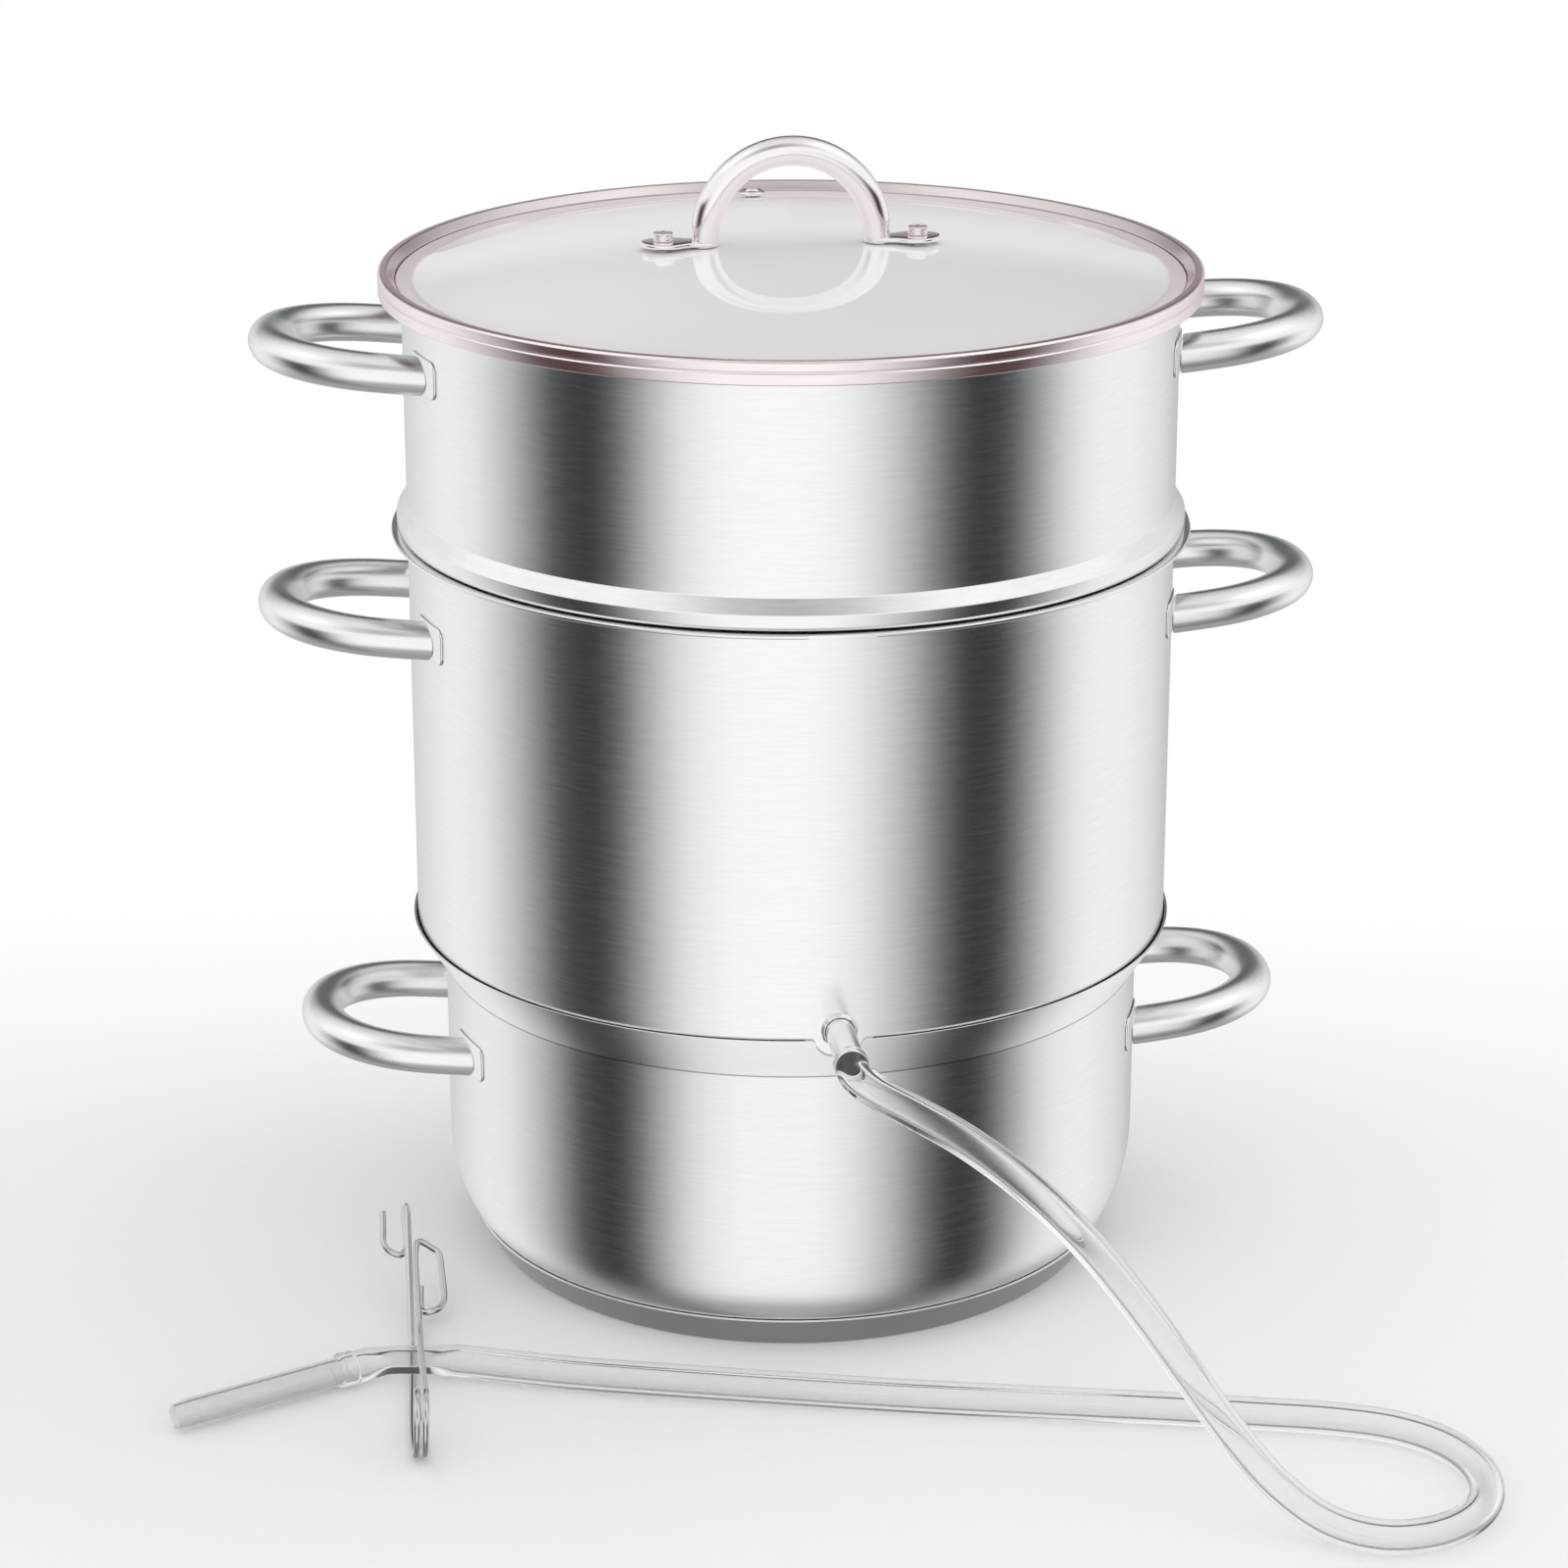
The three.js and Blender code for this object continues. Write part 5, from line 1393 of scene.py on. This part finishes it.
def hoseSections(path):
    # wider over the spout, and squeezed flat between the clamp's jaws
    jaws, sides, slit = Vector(hoseSetup["jaws"]), hoseSetup["sides"], hoseSetup["slit"]
    wide, thin = (size / 2 for size in hoseSetup["pinch"])
    sleeved = hoseSetup["sleeve"]
    outer, inner = [], []
    for p in path:
        sleeve = 1 - smoothShare((p - path[0]).length, sleeved, sleeved + hoseSetup["sleeveRamp"])
        held = 1 - smoothShare((p - jaws).length, hoseSetup["pinchHeld"], hoseSetup["pinchRamp"])
        out = between(hoseSetup["radius"], hoseSetup["sleeveRadius"], sleeve)
        hole = between(hoseSetup["bore"], hoseSetup["sleeveBore"], sleeve)
        square = 2.0 + hoseSetup["square"] * held
        outer.append(oval(between(out, wide, held), between(out, thin, held), sides, square))
        flat = wide - hoseSetup["pinchWall"]
        inner.append(oval(between(hole, flat, held), between(hole, slit, held), sides))
    return outer, inner


nozzleSetup = {
    "collar": (5.8, 6.0), "tube": 4.7, "tip": 4.1, "bore": 3.3, "length": 66.0,
    "heading": 206.0, "height": 5.85,
}


def makeHose():
    path = smoothPath(hoseRoute, 1.5)
    outer, inner = hoseSections(path)
    hose = sweptMesh("drainHose", path, outer, bores=inner, limit=50)
    piece = addPiece("drainHose", hose, "hose", "juice_kettle", "clear_silicone",
                     "hose_run", "hose_pinched_stretch", "hose_tail")
    reach, collar = nozzleSetup["collar"]
    tube, tip, bore, length = (nozzleSetup[key] for key in ("tube", "tip", "bore", "length"))
    outline = [(bore, 0.3, 0.3), (reach, 0.3, 0.5), (reach, collar, 0.6), (tube, collar + 0.4, 0.3),
               (tube, length - 6, 1.0), (tip, length, 0.35), (bore, length, 0.3)]
    turn = Matrix.Rotation(radians(nozzleSetup["heading"]), 4, "Z") @ Matrix.Rotation(pi / 2, 4, "Y")
    end = Vector((*hoseRoute[-1][:2], nozzleSetup["height"]))
    look = "nozzle", "juice_kettle", "nozzle_plastic"
    nozzle = turnedPiece("fillingNozzle", outline, look, "filling_nozzle", 64,
                         place=Matrix.Translation(end) @ turn, rows=8.0)
    length = sum((b - a).length for a, b in zip(path, path[1:]))
    print(f"hose length {length:.1f} mm")


# Pinch clamp: bent spring wire, its coil and lower arm fixed, its upper arm, the one that opens, left on no
# body
clampSetup = {
    "place": (-141.0, -171.3, 0.0), "wire": 1.1, "gap": 0.3, "coil": 10.2, "pitch": 2.8, "turns": 1.5,
    "spacing": 2.8, "jaw": 58.5, "pinch": 7.2, "lift": 73.0, "padReach": 118.0, "padRise": 34.5,
    "padLength": 14.5, "padWidth": 7.4, "loopStart": 87.0, "loopReach": 124.0, "loopRise": 17.0,
    "loopLength": 29.0, "loopWidth": 8.6, "lean": 0.025, "tuck": 2.25, "sides": 20, "blend": 22,
}


def lowerArm(wire, low, half):
    lift, reach, long = clampSetup["lift"], clampSetup["padReach"], clampSetup["padLength"]
    slope = (clampSetup["padRise"] - low) / (reach - lift)
    near = reach - long
    inner = -half - wire * 0.9
    outer = inner - clampSetup["padWidth"]
    bend = clampSetup["padWidth"] * 0.25
    tuck = clampSetup["tuck"]
    flat = [(outer, reach - bend, 0), (outer, reach - long / 2, 0), (outer, near + bend * 1.6, 0),
            (outer + bend, near + bend * 0.2, 0), (inner - bend * 0.9, near, tuck * 0.6),
            (inner, near + bend * 1.2, tuck), (inner, reach - bend, tuck),
            (inner + 0.2, reach - 0.2, tuck * 0.8), (-half - 0.2, reach, tuck * 0.2),
            (-half, reach - bend, 0), (-half, near, 0), (-half, lift + wire * 4, 0)]
    points = [(x, y, low + (y - lift) * slope - down) for x, y, down in flat]
    points += [(-half, lift, low + wire / 3), (-half, lift - wire * 4, low), (-half, clampSetup["jaw"], low)]
    return points


def coilWay(low, high):
    coil, shift = clampSetup["coil"], clampSetup["pitch"] * clampSetup["turns"] / 2
    centre = low + coil
    leave = atan2(centre + coil - high, clampSetup["jaw"])
    total = 2 * pi * clampSetup["turns"] + leave
    points = []
    for i in range(61):
        angle = -total * i / 60
        points.append((-shift + 2 * shift * i / 60, coil * sin(angle), centre - coil * cos(angle)))
    return points


def upperArm(wire, low, high, half, leave):
    jaw, start, reach = clampSetup["jaw"], clampSetup["loopStart"], clampSetup["loopReach"]
    fall = (high - leave[2]) / (jaw - leave[1])
    near = reach - clampSetup["loopLength"]
    outer = half + clampSetup["loopWidth"]
    bend, tuck = clampSetup["loopWidth"] * 0.2, clampSetup["tuck"]
    tip = (reach + near) / 2

    def rise(y):
        return low + (y - start) / (reach - start) * (clampSetup["loopRise"] - low)

    def slope(y):
        return high + fall * (y - jaw)

    midway = (leave[1] + jaw) / 2
    shift = clampSetup["pitch"] * clampSetup["turns"] / 2
    points = [tuple(leave), ((shift + half) / 2, midway, slope(midway)), (half, jaw, high),
              (half, start - wire * 5, slope(start - wire * 5)), (half, start, low + wire / 2)]
    flat = [(half, start + wire * 5, 0), (half, reach - bend * 0.5, 0),
            (half + bend * 0.6, reach + bend * 0.4, 0), (outer - bend * 1.6, reach - bend * 1.6, 0),
            (outer - bend * 0.6, reach - bend * 2.6, 0), (outer - bend * 0.1, tip + bend * 1.2, 0),
            (outer, tip, 0), (outer, near + bend * 2, 0), (outer - bend, near + bend / 2, 0),
            ((half + outer) / 2 + bend * 0.3, near, 0), (half + bend * 1.4, near + bend / 2, tuck * 0.5),
            (half + bend * 0.6, near + bend * 2, tuck), (half + bend * 0.6, tip - bend, tuck)]
    return points + [(x, y, rise(y) - down) for x, y, down in flat]


def lean(y):
    # the arms run a little to the right as they leave the coil
    return clampSetup["lean"] * max(0.0, y - clampSetup["coil"])


def wirePiece(name, places):
    at = Vector(clampSetup["place"])
    path = [(Vector((x + lean(y), y, z)) + at) * mm for x, y, z in places]
    curve = bpy.data.curves.new(name, "CURVE")
    curve.dimensions = "3D"
    line = curve.splines.new("POLY")
    line.points.add(len(path) - 1)
    for spot, place in zip(line.points, path):
        spot.co = (*place, 1.0)
    values = {"Wire Radius": clampSetup["wire"] * mm, "Sides": clampSetup["sides"], "Metal": finishes["wire"]}
    return runShapeTree(name, curve, wireTree, values, 50)


def nearest(path, place):
    return min(range(len(path)), key=lambda i: (path[i] - Vector(place)).length)


def makeClamp():
    wire, gap, half = clampSetup["wire"], clampSetup["gap"], clampSetup["spacing"] / 2
    low = wire + gap
    high = low + 2 * (wire + gap) + clampSetup["pinch"]
    coil = coilWay(low, high)
    landing = (coil[0][0], clampSetup["coil"] * 2, low)
    lead = smoothPath([*lowerArm(wire, low, half), landing, coil[0], coil[2]])
    arm = wirePiece("clampLowerArm", lead[:nearest(lead, coil[0])] + coil)
    addPiece("clampLowerArm", arm, "wire", "juice_kettle", "spring_wire", "clamp_lower_arm")
    upper = smoothPath([coil[-2], *upperArm(wire, low, high, half, coil[-1])])
    upper = upper[nearest(upper, coil[-1]):]
    arm = wirePiece("clampUpperArm", upper)
    piece = addPiece("clampUpperArm", arm, "wire", None, "spring_wire", "clamp_upper_arm")
    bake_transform(piece)


makeHose()
makeClamp()
print("hose, nozzle and clamp made")

# The brushed walls are too dull to mirror the slim pieces beside them
for name in ("panHandles", "kettleHandles", "basketHandles", "drainHose", "fillingNozzle", "clampLowerArm",
             "clampUpperArm"):
    bpy.data.objects[name].visible_glossy = False
